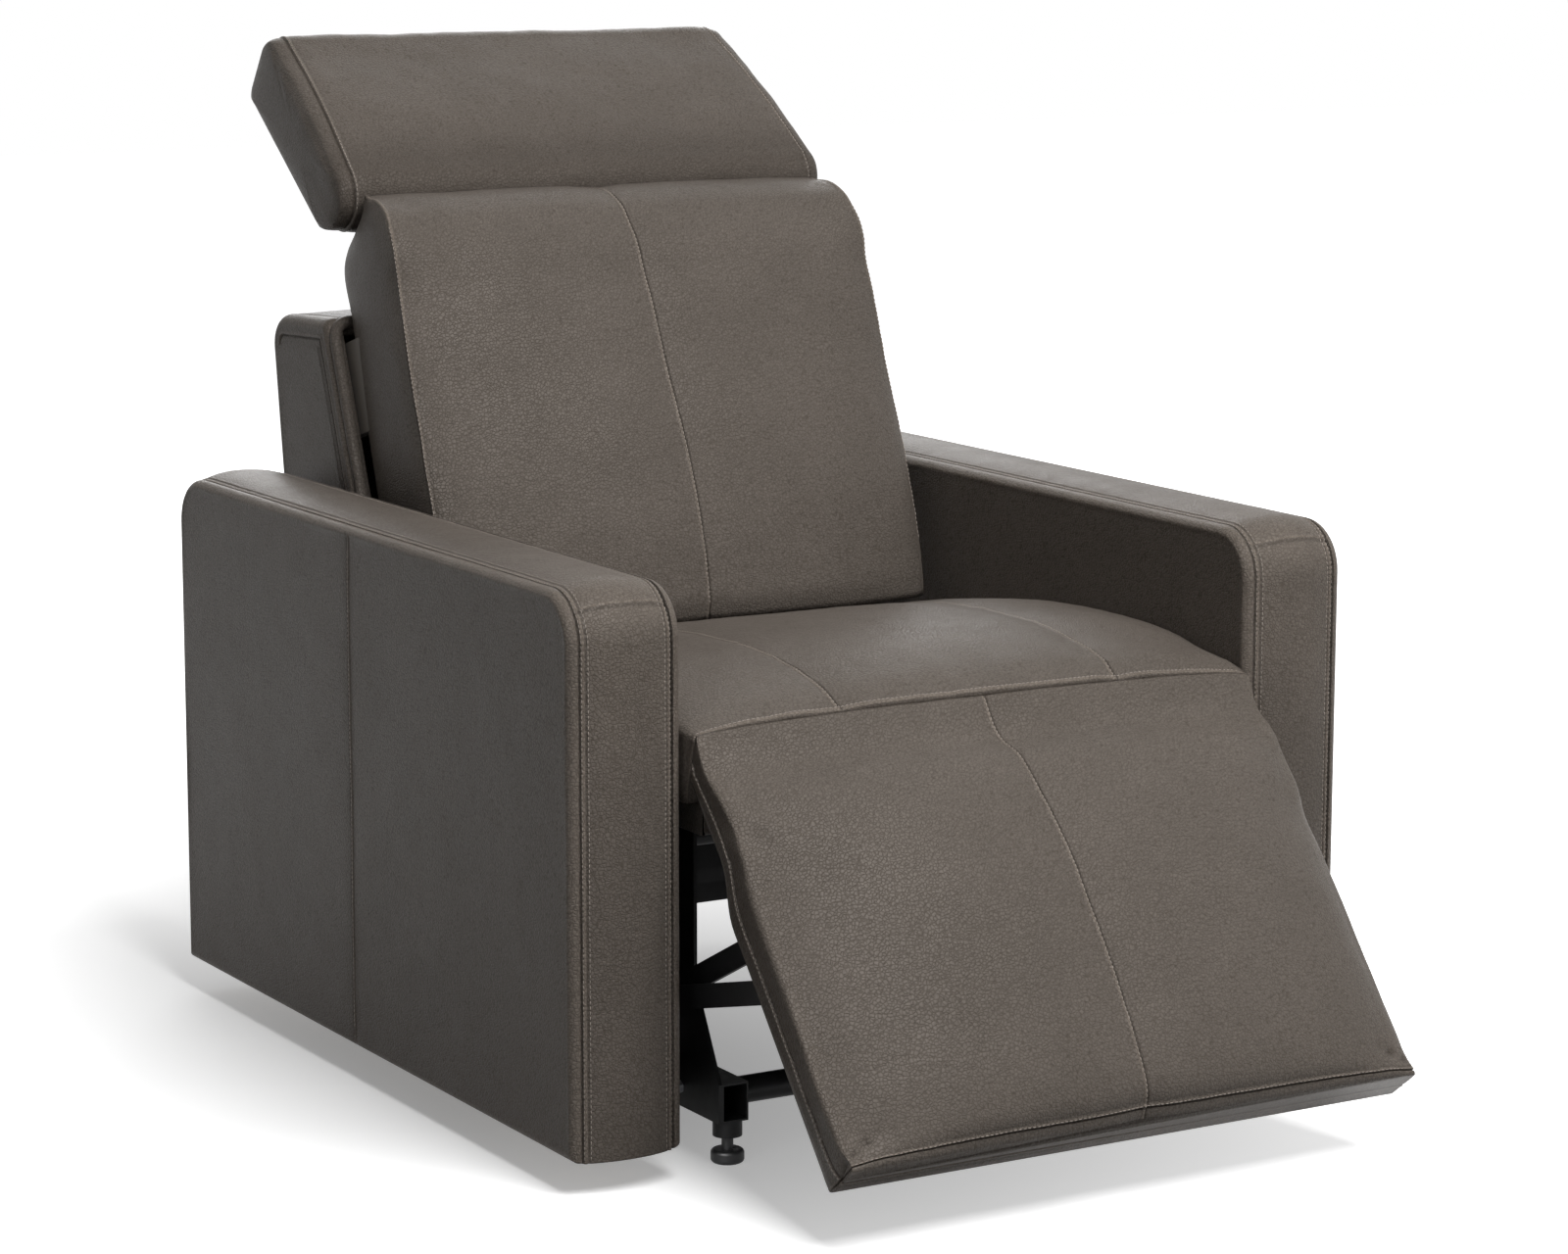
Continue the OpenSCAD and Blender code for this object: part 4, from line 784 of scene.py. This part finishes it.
# The cover goes on behind the board, as far as the front edge of the shell: place up, and depth behind it
BEHIND = [(BACK_LEN * share, 30 + 24 * share) for share in (0, .03, .08, .19, .37, .57, .77)]
BEHIND += [(424, 50), (439, 36), (448, 17), (455, 2)]
BACK_HALF = [307] * 5 + [306, 304, 301, 298, 295, 290]


def back_cover():
    table = []
    for (place, up, thick, edge), (rear_up, behind), half in zip(BACK_SHARES, BEHIND, BACK_HALF):
        depth = BACK_THICK * thick
        table.append((place, back_pt(rear_up, -behind), back_pt(BACK_LEN * up, 0.3 + depth), half,
                      (edge * depth + behind) / (depth + behind)))
    rest = Cushion(table, 8.0, [0.0], side_fine=[(-1.0, 9, 0.9), (1.0, 9, 0.9)])
    rest.swell(1.25, [0])
    relief = rest.skin(41, 1.5, 0.3, 110)
    across = rest.line_x(0) - rest.x
    relief.sew(across, (3.0, 22, 1.8, 1.0))
    relief.height += pucker(across, 0.6, 43, rest.s)
    for side in (-1, 1):
        rim = (rest.line_x(side) - rest.x) * side
        relief.sew(rim, (1.4, 10, 1.6, 1.0), 0.9)
        relief.height += pucker(rim, 0.5, 45 + side, rest.s, 14)
    # Painted highlights along the rolled sides.
    relief.lift += rest.painted_roll_highlight(0.93, 0.05, 0.25)
    seams = [(0, -SEW, (2, 2))] + [(side, -side * SEW, (8, 10)) for side in (-1, 1)]
    rest.cover(relief, 1.6, 0.3, "back_cushion_cover", "back", ["back_cushion"], 0.85, seams)


back_cover()

# Headrest: a ring round its side view, taken across from one side to the other
HEAD_HALF, HEAD_SEAM_X, HEAD_TAPER, HEAD_FLARE, HEAD_CROWN = 311, 295, 16, 20, 6
TOP_R, REAR_R = 34, 14
# Where its ends start to draw in, across and up its face, and by how much
DRAW_X, DRAW_A, HEAD_DRAW = 279, 246, 14
# Loops that close an end: share of the ring and bulge
END_LOOPS = ((0.93, 2.0), (0.8, 3.4), (0.6, 4.4), (0.35, 5.0))
HEAD_STITCHES = slice(22, 92)


def bow(centre, radius, first, last, count):
    """Points on a circle between two angles in degrees."""
    angles = np.radians(np.linspace(first, last, count))
    return [(centre[0] + radius * math.cos(t), centre[1] + radius * math.sin(t)) for t in angles]


def head_ring():
    front_b, rear_b = HEAD_TOP - HEAD_ROLL - HEAD_FLARE, -HEAD_ROLL - HEAD_FLARE
    pts = bow((0, 0), HEAD_ROLL, -90, -270, 40)
    for q in np.linspace(0.04, 1, 26)[:-1]:
        rise = HEAD_ROLL + (front_b - HEAD_ROLL) * q + HEAD_CROWN * math.sin(math.pi * q)
        pts.append((q * (HEAD_LEN - TOP_R), rise))
    pts += bow((HEAD_LEN - TOP_R, front_b - TOP_R), TOP_R, 90, 0, 16)
    pts += bow((HEAD_LEN - REAR_R, rear_b + REAR_R), REAR_R, 0, -90, 8)[1:]
    pts += [(a, -HEAD_ROLL - HEAD_FLARE * a / HEAD_LEN - 0.5) for a in np.linspace(HEAD_LEN - 22, 8, 24)]
    return np.array(pts)


def headrest_form(a, b, xs):
    """The ring at every place across, drawn in at its ends and narrower at its top."""
    t = np.clip((np.abs(xs) - DRAW_X) / (HEAD_HALF - DRAW_X), 0, 1)
    draw = HEAD_DRAW * (1 - np.sqrt(np.maximum(0, 1 - t**2)))[:, None]
    top = np.where(a > DRAW_A, DRAW_A + (a - DRAW_A) * (1 - draw / TOP_R), a)
    a = np.where(a < 0, a * (1 - draw / HEAD_ROLL), top)
    b = np.where(b > 0, b * (1 - draw / HEAD_ROLL), b)
    x = xs[:, None] * (1 - HEAD_TAPER * np.maximum(0, a) / HEAD_LEN / HEAD_HALF)
    return np.stack([x, *head_pt(a, b)], -1)


def close_end(shape, last, p, side, flip):
    """Bulging end inside a ring of points p, whose indices are last."""
    centre = p.mean(0)
    for share, out in END_LOOPS:
        loop = centre + (p - centre) * share + np.array([side * out, 0, 0])
        both = np.array([last, shape.points(loop) + np.arange(len(p))])
        shape.quads(quads_of(both, np.roll(both, -1, axis=1)), flip)
        last = both[1]
    shape.cap(last, flip)


def headrest_cover():
    a, b = head_ring().T
    fine = [(side * x, 8, 1.0) for x in (HEAD_SEAM_X, HEAD_HALF - 2) for side in (-1, 1)]
    xs = marks(-HEAD_HALF, HEAD_HALF, 9, fine)
    p = headrest_form(a, b, xs)
    n = normals(p, around=True)
    x, s = p[..., 0], arc(p, 1)
    relief = Relief(1.5 * noise(x / 105, s / 90, 51) + 0.7 * noise(x / 40, s / 44, 52)
                    + 0.3 * noise(x / 17, s / 18, 53))
    # Painted shade over the lower front, where the headrest turns under towards the back.
    relief.groove += 0.62 * fade(np.maximum(0, a - 8), 40, 1.5) * (b > -20)
    for side in (-1, 1):
        rim = HEAD_SEAM_X - side * x - HEAD_TAPER * np.maximum(0, a) / HEAD_LEN
        relief.sew(rim, (1.6, 10, 1.6, 1.0))
        relief.height += 0.6 * noise(s / 22, rim / 60, 55) * fade(rim, 16)
    flat_rear = b < 1.0 - HEAD_ROLL - HEAD_FLARE * a / HEAD_LEN
    p = p + n * np.where(flat_rear, 0, relief.height)[..., None]
    shape = Shape()
    flip = facing_in(p, n)
    idx = shape.grid(p, relief.tone(), True, flip)
    for row, side in ((0, -1), (-1, 1)):
        close_end(shape, idx[row], p[row], side, (side > 0) == flip)
        i = int(abs(xs - side * (HEAD_SEAM_X - SEW)).argmin())
        stitches(shape, p[i, HEAD_STITCHES], n[i, HEAD_STITCHES])
    shape.make("headrest_cover", "headrest", replaces=["headrest_cushion"])


headrest_cover()


# Panels and bands: outlines in the side plane, taken with their inside on the right
ARC_N = 12


def rotated(v, angle):
    """A direction in the side plane, turned by an angle."""
    return np.array([v[0] * math.cos(angle) - v[1] * math.sin(angle),
                     v[0] * math.sin(angle) + v[1] * math.cos(angle)])


def outline(points, radii, fracs, arc_n, inset=0.0, closed=True):
    """Points and outward normals of a rounded outline drawn in by inset. fracs are places on each side."""
    pts = np.array(points, float)
    n = len(pts)
    sides = n if closed else n - 1
    dirs = [unit(pts[(i + 1) % n] - pts[i]) for i in range(sides)]
    nrm = [np.array([-d[1], d[0]]) for d in dirs]
    starts, ends, arcs = [None] * n, [None] * n, [None] * n
    for i in range(n):
        if not closed and i in (0, n - 1):
            out = nrm[min(i, sides - 1)]
            starts[i] = ends[i] = pts[i] - out * inset
            arcs[i] = [(starts[i], out)]
            continue
        d0, d1, n0, n1 = dirs[i - 1], dirs[i % sides], nrm[i - 1], nrm[i % sides]
        corner = pts[i] - inset * (n0 + n1) / (1 + n0 @ n1)
        r = max(radii[i] - inset, 0.4)
        turn = math.atan2(d0[0] * d1[1] - d0[1] * d1[0], d0 @ d1)
        cut = r * math.tan(abs(turn) / 2)
        ends[i], starts[i] = corner - d0 * cut, corner + d1 * cut
        spokes = [rotated(n0, turn * k / arc_n) for k in range(arc_n + 1)]
        arcs[i] = [(ends[i] - n0 * r + v * r, v) for v in spokes]
    out = []
    for i in range(n):
        out += arcs[i]
        if i < sides:
            a, b = starts[i], ends[(i + 1) % n]
            out += [(a + (b - a) * f, nrm[i]) for f in fracs[i]]
    return np.array([o[0] for o in out]), np.array([o[1] for o in out])


def fractions(length, step, fine=()):
    return (marks(0, length, step, fine) / length)[1:-1]


class Profile:
    """Closed outline of a side panel, which four of its corners cut into the sides of a grid."""

    def __init__(self, points, radii, fracs, corners):
        self.points, self.radii, self.fracs = points, radii, fracs
        counts = [len(f) + ARC_N + 1 for f in fracs]
        starts = np.concatenate([[0], np.cumsum(counts)])
        self.corners = [int(starts[i]) + ARC_N // 2 for i in corners]

    def inset(self, distance):
        return outline(self.points, self.radii, self.fracs, ARC_N, distance)[0]

    def fill(self, loop):
        """Grid filled in from its boundary loop."""
        c = self.corners
        stops = c[1:] + [c[0] + len(loop)]
        left, top, right, low = [loop[np.arange(i, j + 1) % len(loop)] for i, j in zip(c, stops)]
        right, low = right[::-1], low[::-1]
        u, v = lengths(top)[None, :, None], lengths(left)[:, None, None]
        u, v = u / u.max(), v / v.max()
        corners = ((1 - u) * (1 - v) * left[0] + (1 - u) * v * left[-1]
                   + u * (1 - v) * right[0] + u * v * right[-1])
        return (1 - v) * low[None] + v * top[None] + (1 - u) * left[:, None] + u * right[:, None] - corners


def weld(o, distance=0.00002):
    bm = bmesh.new()
    bm.from_mesh(o.data)
    bmesh.ops.remove_doubles(bm, verts=bm.verts, dist=distance)
    bm.to_mesh(o.data)
    bm.free()
    o.data.polygons.foreach_set("use_smooth", np.ones(len(o.data.polygons), bool))


# Rings of a panel past its turned edge, without and with a seam along its rim, and that seam's place
FLAT_RINGS = (4, 9)
RIM_RINGS = (2.5, 5, 7, 8, 8.8, 9.6, 10.4, 11.2, 12, 13, 15, 19)
RIM_IN = 9.6


def side_panel(name, side, profile, x_core, x_face, body, replaces, seed, edge_r=11, soft=0.9, rim=None,
               seam=None):
    """Padded side panel that turns over its edge towards the band beside it. rim gives the weight of the
    seam along its rim, and seam is the y of a seam that goes straight up."""
    sign = 1 if x_face > x_core else -1
    steps = [(2.5, x_core), (0.8, x_core), (0.1, x_core + sign)]
    for angle in np.linspace(np.pi / 2, 0, 8):
        steps.append((edge_r * (1 - math.sin(angle)) * 0.98, x_face - sign * edge_r * (1 - math.cos(angle))))
    steps += [(edge_r + more, x_face) for more in (RIM_RINGS if rim else FLAT_RINGS)]
    rings = np.array([np.insert(profile.inset(inset), 0, x, axis=1) for inset, x in steps])
    inner = np.insert(profile.fill(rings[-1][:, 1:]), 0, x_face, axis=2)
    order = np.arange(len(steps))[:, None]
    reliefs = []
    for g, past_edge, flat in ((rings, order > 8, order > 9), (inner, 1.0, 1.0)):
        y, z = g[..., 1], g[..., 2]
        dents = (soft * noise(y / 190, z / 170, seed) + 0.4 * soft * noise(y / 62, z / 55, seed + 1)
                 + 0.18 * noise(y / 18, z / 17, seed + 2))
        relief = Relief(flat * (0.8 * dents - 0.6))
        if seam is not None:
            relief.sew(seam - y, (0.8, 10, 0.9, 1.0), 0.5 * past_edge, 1.1, past_edge, 2.8, 1.8, past_edge)
        reliefs.append(relief)
    if rim:
        dist = edge_r + RIM_IN - np.array([inset for inset, x in steps])[:, None]
        weight = rim(profile.inset(0))
        reliefs[0].sew(dist, (0.8, 8, 1.4, 0.9), weight, 1.4, weight, share=weight)
    # Painted highlight along the turned edge of the panel.
    reliefs[0].lift[3:10] += 0.45
    for g, relief in zip((rings, inner), reliefs):
        g[..., 0] = side * (g[..., 0] + sign * relief.height)
    shape = Shape()
    out = side * sign > 0
    idx = shape.grid(rings, reliefs[0].tone(), around=True, flip=out)
    shape.cap(idx[0], flip=not out)
    shape.grid(inner, reliefs[1].tone(), flip=not out)
    if seam is not None:
        line = inner[:, int(abs(inner[len(inner) // 2, :, 1] - seam + SEW).argmin())]
        stitches(shape, line, np.tile([side * sign, 0.0, 0], (len(line), 1)))
    weld(shape.make(name, body, replaces=replaces))


# Felled double seam of a band: the width of its lap, and the lines of stitches in from the edge
FELL = 6
FELL_STITCHES = (1.6, 8.0)


def band(name, path, out, x_mid, half, crown, depth, body, replaces, seed, cross=(), soft=0.8, painted_highlight_patch=None):
    """Padding that runs along an outline between two side panels, with a felled double seam by each edge.
    cross holds the places of its cross seams, and the last argument the place, reach and strength of a
    painted highlight."""
    fine = [(side * (half - k), reach, 0.7) for side in (-1, 1) for k, reach in ((0, 3.5), (FELL, 4.2))]
    cols = marks(-half, half, 7 if half < 100 else 11, fine)
    r = (half**2 + crown**2) / (2 * crown)
    edge = half - np.abs(cols)
    past = np.maximum(0, edge - FELL)
    h = np.sqrt(r * r - cols**2) - (r - crown) - 2.2 * gauss(edge, 1.5) - 0.9 * gauss(edge - FELL, 1.1)
    h += 0.8 * ridge(edge, 3, 2.0) - 0.9 * fade(past, 9, 1.3)
    s, c = lengths(path)[:, None], cols[None]
    inside = np.clip((edge - 7) / 12, 0, 1)
    relief = Relief(h + inside * (soft * noise(s / 105, c / 70 + x_mid, seed)
                                  + 0.4 * soft * noise(s / 38, c / 36, seed + 1))
                    + 0.35 * noise(s / 21, c / 44 + 9, seed + 2) * fade(past, 16))
    # Painted shade in the seam grooves and painted highlights on the lap ridges.
    relief.groove += 0.7 * gauss(edge, 1.4) + 0.45 * gauss(edge - FELL, 1.3)
    relief.lift += ridge(edge, 3, 2.0)
    # A painted highlight over one stretch of the band.
    if painted_highlight_patch:
        place, reach, strength = painted_highlight_patch
        relief.lift += strength * gauss(s - place, reach) * (1 + 0.5 * noise(s / 60, c / 40, seed + 3))
    for at in cross:
        relief.sew(s - at, (0.7, 9, 1.3, 0.7), light=0.8)
    p, n = np.insert(path, 0, x_mid, axis=1)[:, None], np.insert(out, 0, 0, axis=1)[:, None]
    across = np.array([1.0, 0, 0])
    top = p + n * relief.height[..., None] + across * cols[:, None]
    under = p - n * depth + across * np.array([[half - 0.3], [0], [0.3 - half]])
    ring = np.concatenate([top, under], 1)
    tone = np.concatenate([relief.tone(), np.full((len(path), 3), 0.4)], 1)
    shape = Shape()
    shape.roll(ring, np.broadcast_to(n, ring.shape), tone)
    for side in (-1, 1):
        for k in FELL_STITCHES:
            i = int(abs(cols - side * (half - k)).argmin())
            stitches(shape, top[:, i], n[:, 0], 0.1)
    shape.make(name, body, replaces=replaces)


# Arms
BODY_HALF, ARM_W, ARM_D, ARM_TOP, ARM_LOW, ARM_ROUND, FOOT_R = 460, 124, 949, 596, 35, 52, 4
ARM_SKIN, ARM_PAD, ARM_CROWN, TUCK, ARM_STEP, ARM_SEAM_Y = 12, 22, 8, 0.2, 11, 500
# How far round the corners the cross seams of the band lie, in radians
SEAM_TURN = 0.6877


def arms():
    inner_x = BODY_HALF - ARM_W
    upright, level = ARM_TOP - ARM_LOW - ARM_ROUND, ARM_D - 2 * ARM_ROUND
    up = fractions(upright - FOOT_R, ARM_STEP)
    over = fractions(level, ARM_STEP, [(ARM_SEAM_Y - ARM_ROUND, 8, 0.75)])
    low = ((over * level + ARM_ROUND - FOOT_R) / (ARM_D - 2 * FOOT_R))[::-1]
    points = [(0, ARM_LOW), (0, ARM_TOP), (ARM_D, ARM_TOP), (ARM_D, ARM_LOW)]
    radii = [FOOT_R, ARM_ROUND, ARM_ROUND, FOOT_R]
    profile = Profile(points, radii, [up, over, 1 - up[::-1], 1 - low], range(4))
    fracs = [fractions(upright, 9, [(0, 4, 1.0)]), fractions(level, 9), fractions(upright, 9)]
    path, out = outline(points, radii, fracs, 40, closed=False)
    cross = (upright + SEAM_TURN * ARM_ROUND, upright + level + (math.pi - SEAM_TURN) * ARM_ROUND)
    for side, hand in HANDS:
        side_panel(f"arm_outer_cover_{hand}", side, profile, BODY_HALF - ARM_SKIN + TUCK, BODY_HALF, "base",
                   [f"arm_outer_panel_{hand}"], 60 + side, seam=ARM_SEAM_Y)
        side_panel(f"arm_inner_cover_{hand}", side, profile, inner_x + ARM_SKIN - TUCK, inner_x, "base",
                   [f"arm_inner_panel_{hand}"], 64 + side, soft=0.5)
        pads = [f"arm_{place}_pad_{hand}" for place in ("front", "top", "rear")]
        # The arm band gets a painted highlight across the top of its front.
        band(f"arm_band_{hand}", path, out, side * (BODY_HALF + inner_x) / 2, ARM_W / 2 - ARM_SKIN,
             ARM_CROWN, ARM_PAD - 2 * TUCK, "base", pads, 70 + side, cross, painted_highlight_patch=(upright - 10, 130, 0.34))


arms()

# Outer shell of the back
SHELL_POINTS = [(700, 200), (710, 409), (849, 775), (1004, 768), (928, 200)]
SHELL_RADII = [6, 70, 12, 36, 6]
SHELL_HALF, SHELL_WALL, SHELL_CROWN = 320, 20, 4
# Lengths that set the spacing of its points: the sides' front below and above the knee and their top, and
# the band's top and rear
KNEE_LOW, KNEE_HIGH, TOP_LEN, BAND_TOP_LEN, BAND_REAR_LEN = 205, 380, 150, 119, 537
# The rim's seam starts above this height, over this far, and ends at this height on the rear
RIM_FROM, RIM_OVER, RIM_END = 300, 60, 735
WELT = [(702, 204), (711, 409), (846, 771)]
WELT_X, WELT_R = 311, 7


def shell_rim(base):
    """The seam by the edge runs along the front and the top of the shell's side."""
    y, z = base.T
    front = np.clip((z - RIM_FROM) / RIM_OVER, 0, 1) * (y < 1003)
    rear = y > 916 + (z - 200) * 0.134
    return front * np.where(rear & (z < RIM_END), 0.0, 1.0)


def shell():
    low, high, top = fractions(KNEE_LOW, 14), fractions(KNEE_HIGH, 14), fractions(TOP_LEN, 10)
    rear = np.linspace(0, 1, len(low) + len(high) + ARC_N + 3)[1:-1]
    profile = Profile(SHELL_POINTS, SHELL_RADII, [low, high, top, rear, 1 - top[::-1]], (0, 2, 3, 4))
    for side, hand in HANDS:
        side_panel(f"shell_side_cover_{hand}", side, profile, SHELL_HALF - SHELL_WALL + TUCK, SHELL_HALF,
                   "back", [f"shell_side_{hand}"], 80 + side, edge_r=14, soft=0.6, rim=shell_rim)
    fracs = [fractions(BAND_TOP_LEN, 9), fractions(BAND_REAR_LEN, 12)]
    path, out = outline(SHELL_POINTS[2:], [0, SHELL_RADII[3], 0], fracs, 16, closed=False)
    band("shell_band", path, out, 0, SHELL_HALF - SHELL_WALL, SHELL_CROWN, SHELL_WALL - 2 * TUCK, "back",
         ["shell_top_panel", "shell_rear_panel"], 90, soft=1.0)


shell()


def tube(name, pts, radius, body, seed):
    """Round roll of stuffed leather along a line of points."""
    ahead = unit(np.gradient(pts, axis=0))
    refs = [unit(np.cross(ahead[0], [0, 1.0, 0.3]))]
    for t in ahead[1:]:
        refs.append(unit(refs[-1] - t * (refs[-1] @ t)))
    refs = np.array(refs)
    s, angle = lengths(pts)[:, None], np.linspace(0, 2 * np.pi, 19)[None, :-1]
    r = radius + 0.25 * noise(s / 26, angle * 1.3, seed) + 0.12 * noise(s / 9, angle * 2, seed + 1)
    p = (pts[:, None] + refs[:, None] * (np.cos(angle) * r)[..., None]
         + np.cross(ahead, refs)[:, None] * (np.sin(angle) * r)[..., None])
    shape = Shape()
    shape.roll(p, normals(p, around=True))
    shape.make(name, body, mats=(LEATHER,))


def smooth_path(points, cuts, step=6):
    """Points about step apart on straight lines with rounded corners. cuts is what each corner takes off."""
    out = [points[0]]
    for a, b, c, cut in zip(points, points[1:], points[2:], cuts):
        da, dc = unit(a - b) * cut, unit(c - b) * cut
        for t in np.linspace(0, 1, 9):
            out.append((1 - t) ** 2 * (b + da) + 2 * t * (1 - t) * b + t**2 * (b + dc))
    out = np.array([*out, points[-1]])
    run = lengths(out)
    return along(out, run, np.linspace(0, run[-1], round(run[-1] / step) + 1))


welt = np.array([(-WELT_X, *q) for q in WELT] + [(WELT_X, *q) for q in WELT[::-1]], float)
tube("shell_welt", smooth_path(welt, [60, 22, 22, 60]), WELT_R, "back", 95)


def slab(name, body, skin, lo, hi, axis, to_yz, radius, seed, soft=0.4):
    """Rounded slab: lo and hi are its corners as (x, u, v), and to_yz turns (u, v) into the side plane."""
    lo, hi = np.array(lo, float), np.array(hi, float)
    others = [k for k in range(3) if k != axis]
    middle, reach = (lo + hi)[others] / 2, (hi - lo)[others] / 2 - radius
    ring = []
    for k, corner in enumerate(((1, 1), (-1, 1), (-1, -1), (1, -1))):
        ring += bow(middle + reach * corner, radius, 90 * k, 90 * k + 90, 5)
    dense = []
    for a, b in zip(np.array(ring), np.roll(ring, -1, axis=0)):
        count = max(1, int(np.linalg.norm(b - a) / 18))
        dense += [a + (b - a) * f / count for f in range(count)]
    ring = np.array(dense)
    ends = [(0.0, 0.0), (0.0, 0.5), (0.15, 0.85), (0.5, 1.0)]
    count = max(2, round((hi[axis] - lo[axis]) / 18))
    run = [(lo[axis] + radius * e, k) for e, k in ends]
    run += [(v, 1.0) for v in np.linspace(lo[axis] + radius, hi[axis] - radius, count)]
    run += [(hi[axis] - radius * e, k) for e, k in ends[::-1]]
    p = np.empty((len(run), len(ring), 3))
    for row, (v, k) in zip(p, run):
        row[:, axis], row[:, others] = v, ring - np.sign(ring - middle) * radius * (1 - k)
    p = np.stack([p[..., 0], *to_yz(p[..., 1], p[..., 2])], 2)
    n = normals(p, around=True)
    p = p + n * (soft * noise(p[..., 0] / 60, (p[..., 1] + p[..., 2]) / 60, seed))[..., None]
    shape = Shape()
    shape.roll(p, n)
    shape.make(name, body, (skin,))


def same(y, z):
    return y, z


# Seat box under the cushion, dust cover under the legrest's board and lining behind the seat
slab("seat_box_front", "base", LEATHER, (-311, 5.5, 344.5), (311, 21.5, 377.5), 0, same, 5, 101)
for side, hand in HANDS:
    near, far = sorted((side * 308.2, side * 311.4))
    slab(f"seat_box_side_{hand}", "base", LEATHER, (near, 6, 344.5), (far, 547, 376.5), 1, same,
         1.5, 103, 0.15)
slab("legrest_dust_cover", "legrest", LINING, (-293, 172, -22.2), (293, 436, -20.9), 1, leg_pt,
     0.6, 105, 0.3)
slab("seat_rear_lining", "base", LINING, (-302, 549.5, 349), (302, 680, 351.5), 1, same,
     1.0, 109, 0.3)

# Floor, world and lights
KEY, SIDE_LIGHT, REAR_LIGHT, SHEEN, FILL, FLOOR_LIFT = 276, 4, 60, 200, 0.12, 0.24
FLOOR_HALF, SHADOW_MIDDLE, SHADOW_FROM, SHADOW_TO = 14, (-0.5, 0.1, 0), 0.1, 1.7
WHITE = (1, 1, 1, 1)


def seen_rays(tree):
    """1 for the rays that see the background: camera, glossy and transmission rays."""
    rays = node(tree, "LightPath").outputs
    seen = rays["Is Camera Ray"]
    for kind in ("Is Glossy Ray", "Is Transmission Ray"):
        seen = node(tree, "Math", {0: seen, 1: rays[kind]}, operation="MAXIMUM").outputs[0]
    return seen


def floor_material():
    """White floor that keeps the chair's shadow in its middle, where its glow is also weakest round a point
    beside the near arm, which paints shade there, and that glows into the background further out.
    """
    m, tree = new_material("floor_white")
    seen = seen_rays(tree)
    inputs = {"Factor": seen, "A": (0.18, 0.18, 0.18, 1), "B": (0.9, 0.9, 0.9, 1)}
    pale = node(tree, "Mix", inputs, data_type="RGBA")
    flat = node(tree, "BsdfDiffuse", {"Color": pale.outputs["Result"]})
    place = node(tree, "TexCoord").outputs["Object"]
    far = node(tree, "VectorMath", {0: place, 1: SHADOW_MIDDLE}, operation="DISTANCE")
    inputs = {"Value": far.outputs["Value"], "From Min": SHADOW_FROM, "From Max": SHADOW_TO,
              "To Min": FLOOR_LIFT, "To Max": 1.0}
    lift = node(tree, "MapRange", inputs, interpolation_type="SMOOTHSTEP")
    level = node(tree, "Math", {0: lift.outputs["Result"], 1: seen}, operation="MULTIPLY")
    glow = node(tree, "Emission", {0: WHITE, 1: level.outputs[0]})
    both = node(tree, "AddShader", {0: flat.outputs[0], 1: glow.outputs[0]})
    node(tree, "OutputMaterial", {0: both.outputs[0]})
    return m


def lay_floor():
    me = bpy.data.meshes.new("floor")
    corners = [(x * FLOOR_HALF, y * FLOOR_HALF, 0) for x, y in ((-1, -1), (1, -1), (1, 1), (-1, 1))]
    me.from_pydata(corners, [], [(0, 1, 2, 3)])
    me.materials.append(floor_material())
    add_object("floor", me)


def light_world():
    world = bpy.data.worlds.new("world")
    bpy.context.scene.world = world
    world.use_nodes = True
    tree = world.node_tree
    tree.nodes.clear()
    soft = node(tree, "Background", {0: WHITE, 1: FILL})
    white = node(tree, "Background", {0: WHITE, 1: 1.0})
    inputs = {0: seen_rays(tree), 1: soft.outputs[0], 2: white.outputs[0]}
    mix = node(tree, "MixShader", inputs)
    node(tree, "OutputWorld", {0: mix.outputs[0]})


def area_light(name, at, to, size, power, sheen_only=False):
    data = bpy.data.lights.new(name, "AREA")
    data.shape = "SQUARE"
    data.size = size
    data.energy = power
    lamp = add_object(name, data)
    look(lamp, at, to)
    lamp.visible_diffuse = not sheen_only


lay_floor()
light_world()
area_light("key", (0.1, -2.6, 3.9), (0, 0, 0.4), 2.4, KEY)
area_light("side", (-3.4, -1.9, 1.4), (0, 0, 0.5), 1.2, SIDE_LIGHT)
area_light("sheen", (-3.0, -2.2, 2.3), (-0.2, 0, 0.5), 1.2, SHEEN, True)
area_light("rear", (1.6, 4.2, 2.2), (0, 0, 0.6), 2.6, REAR_LIGHT)
scene = bpy.context.scene
scene.view_settings.view_transform = "Standard"
scene.view_settings.look = "None"
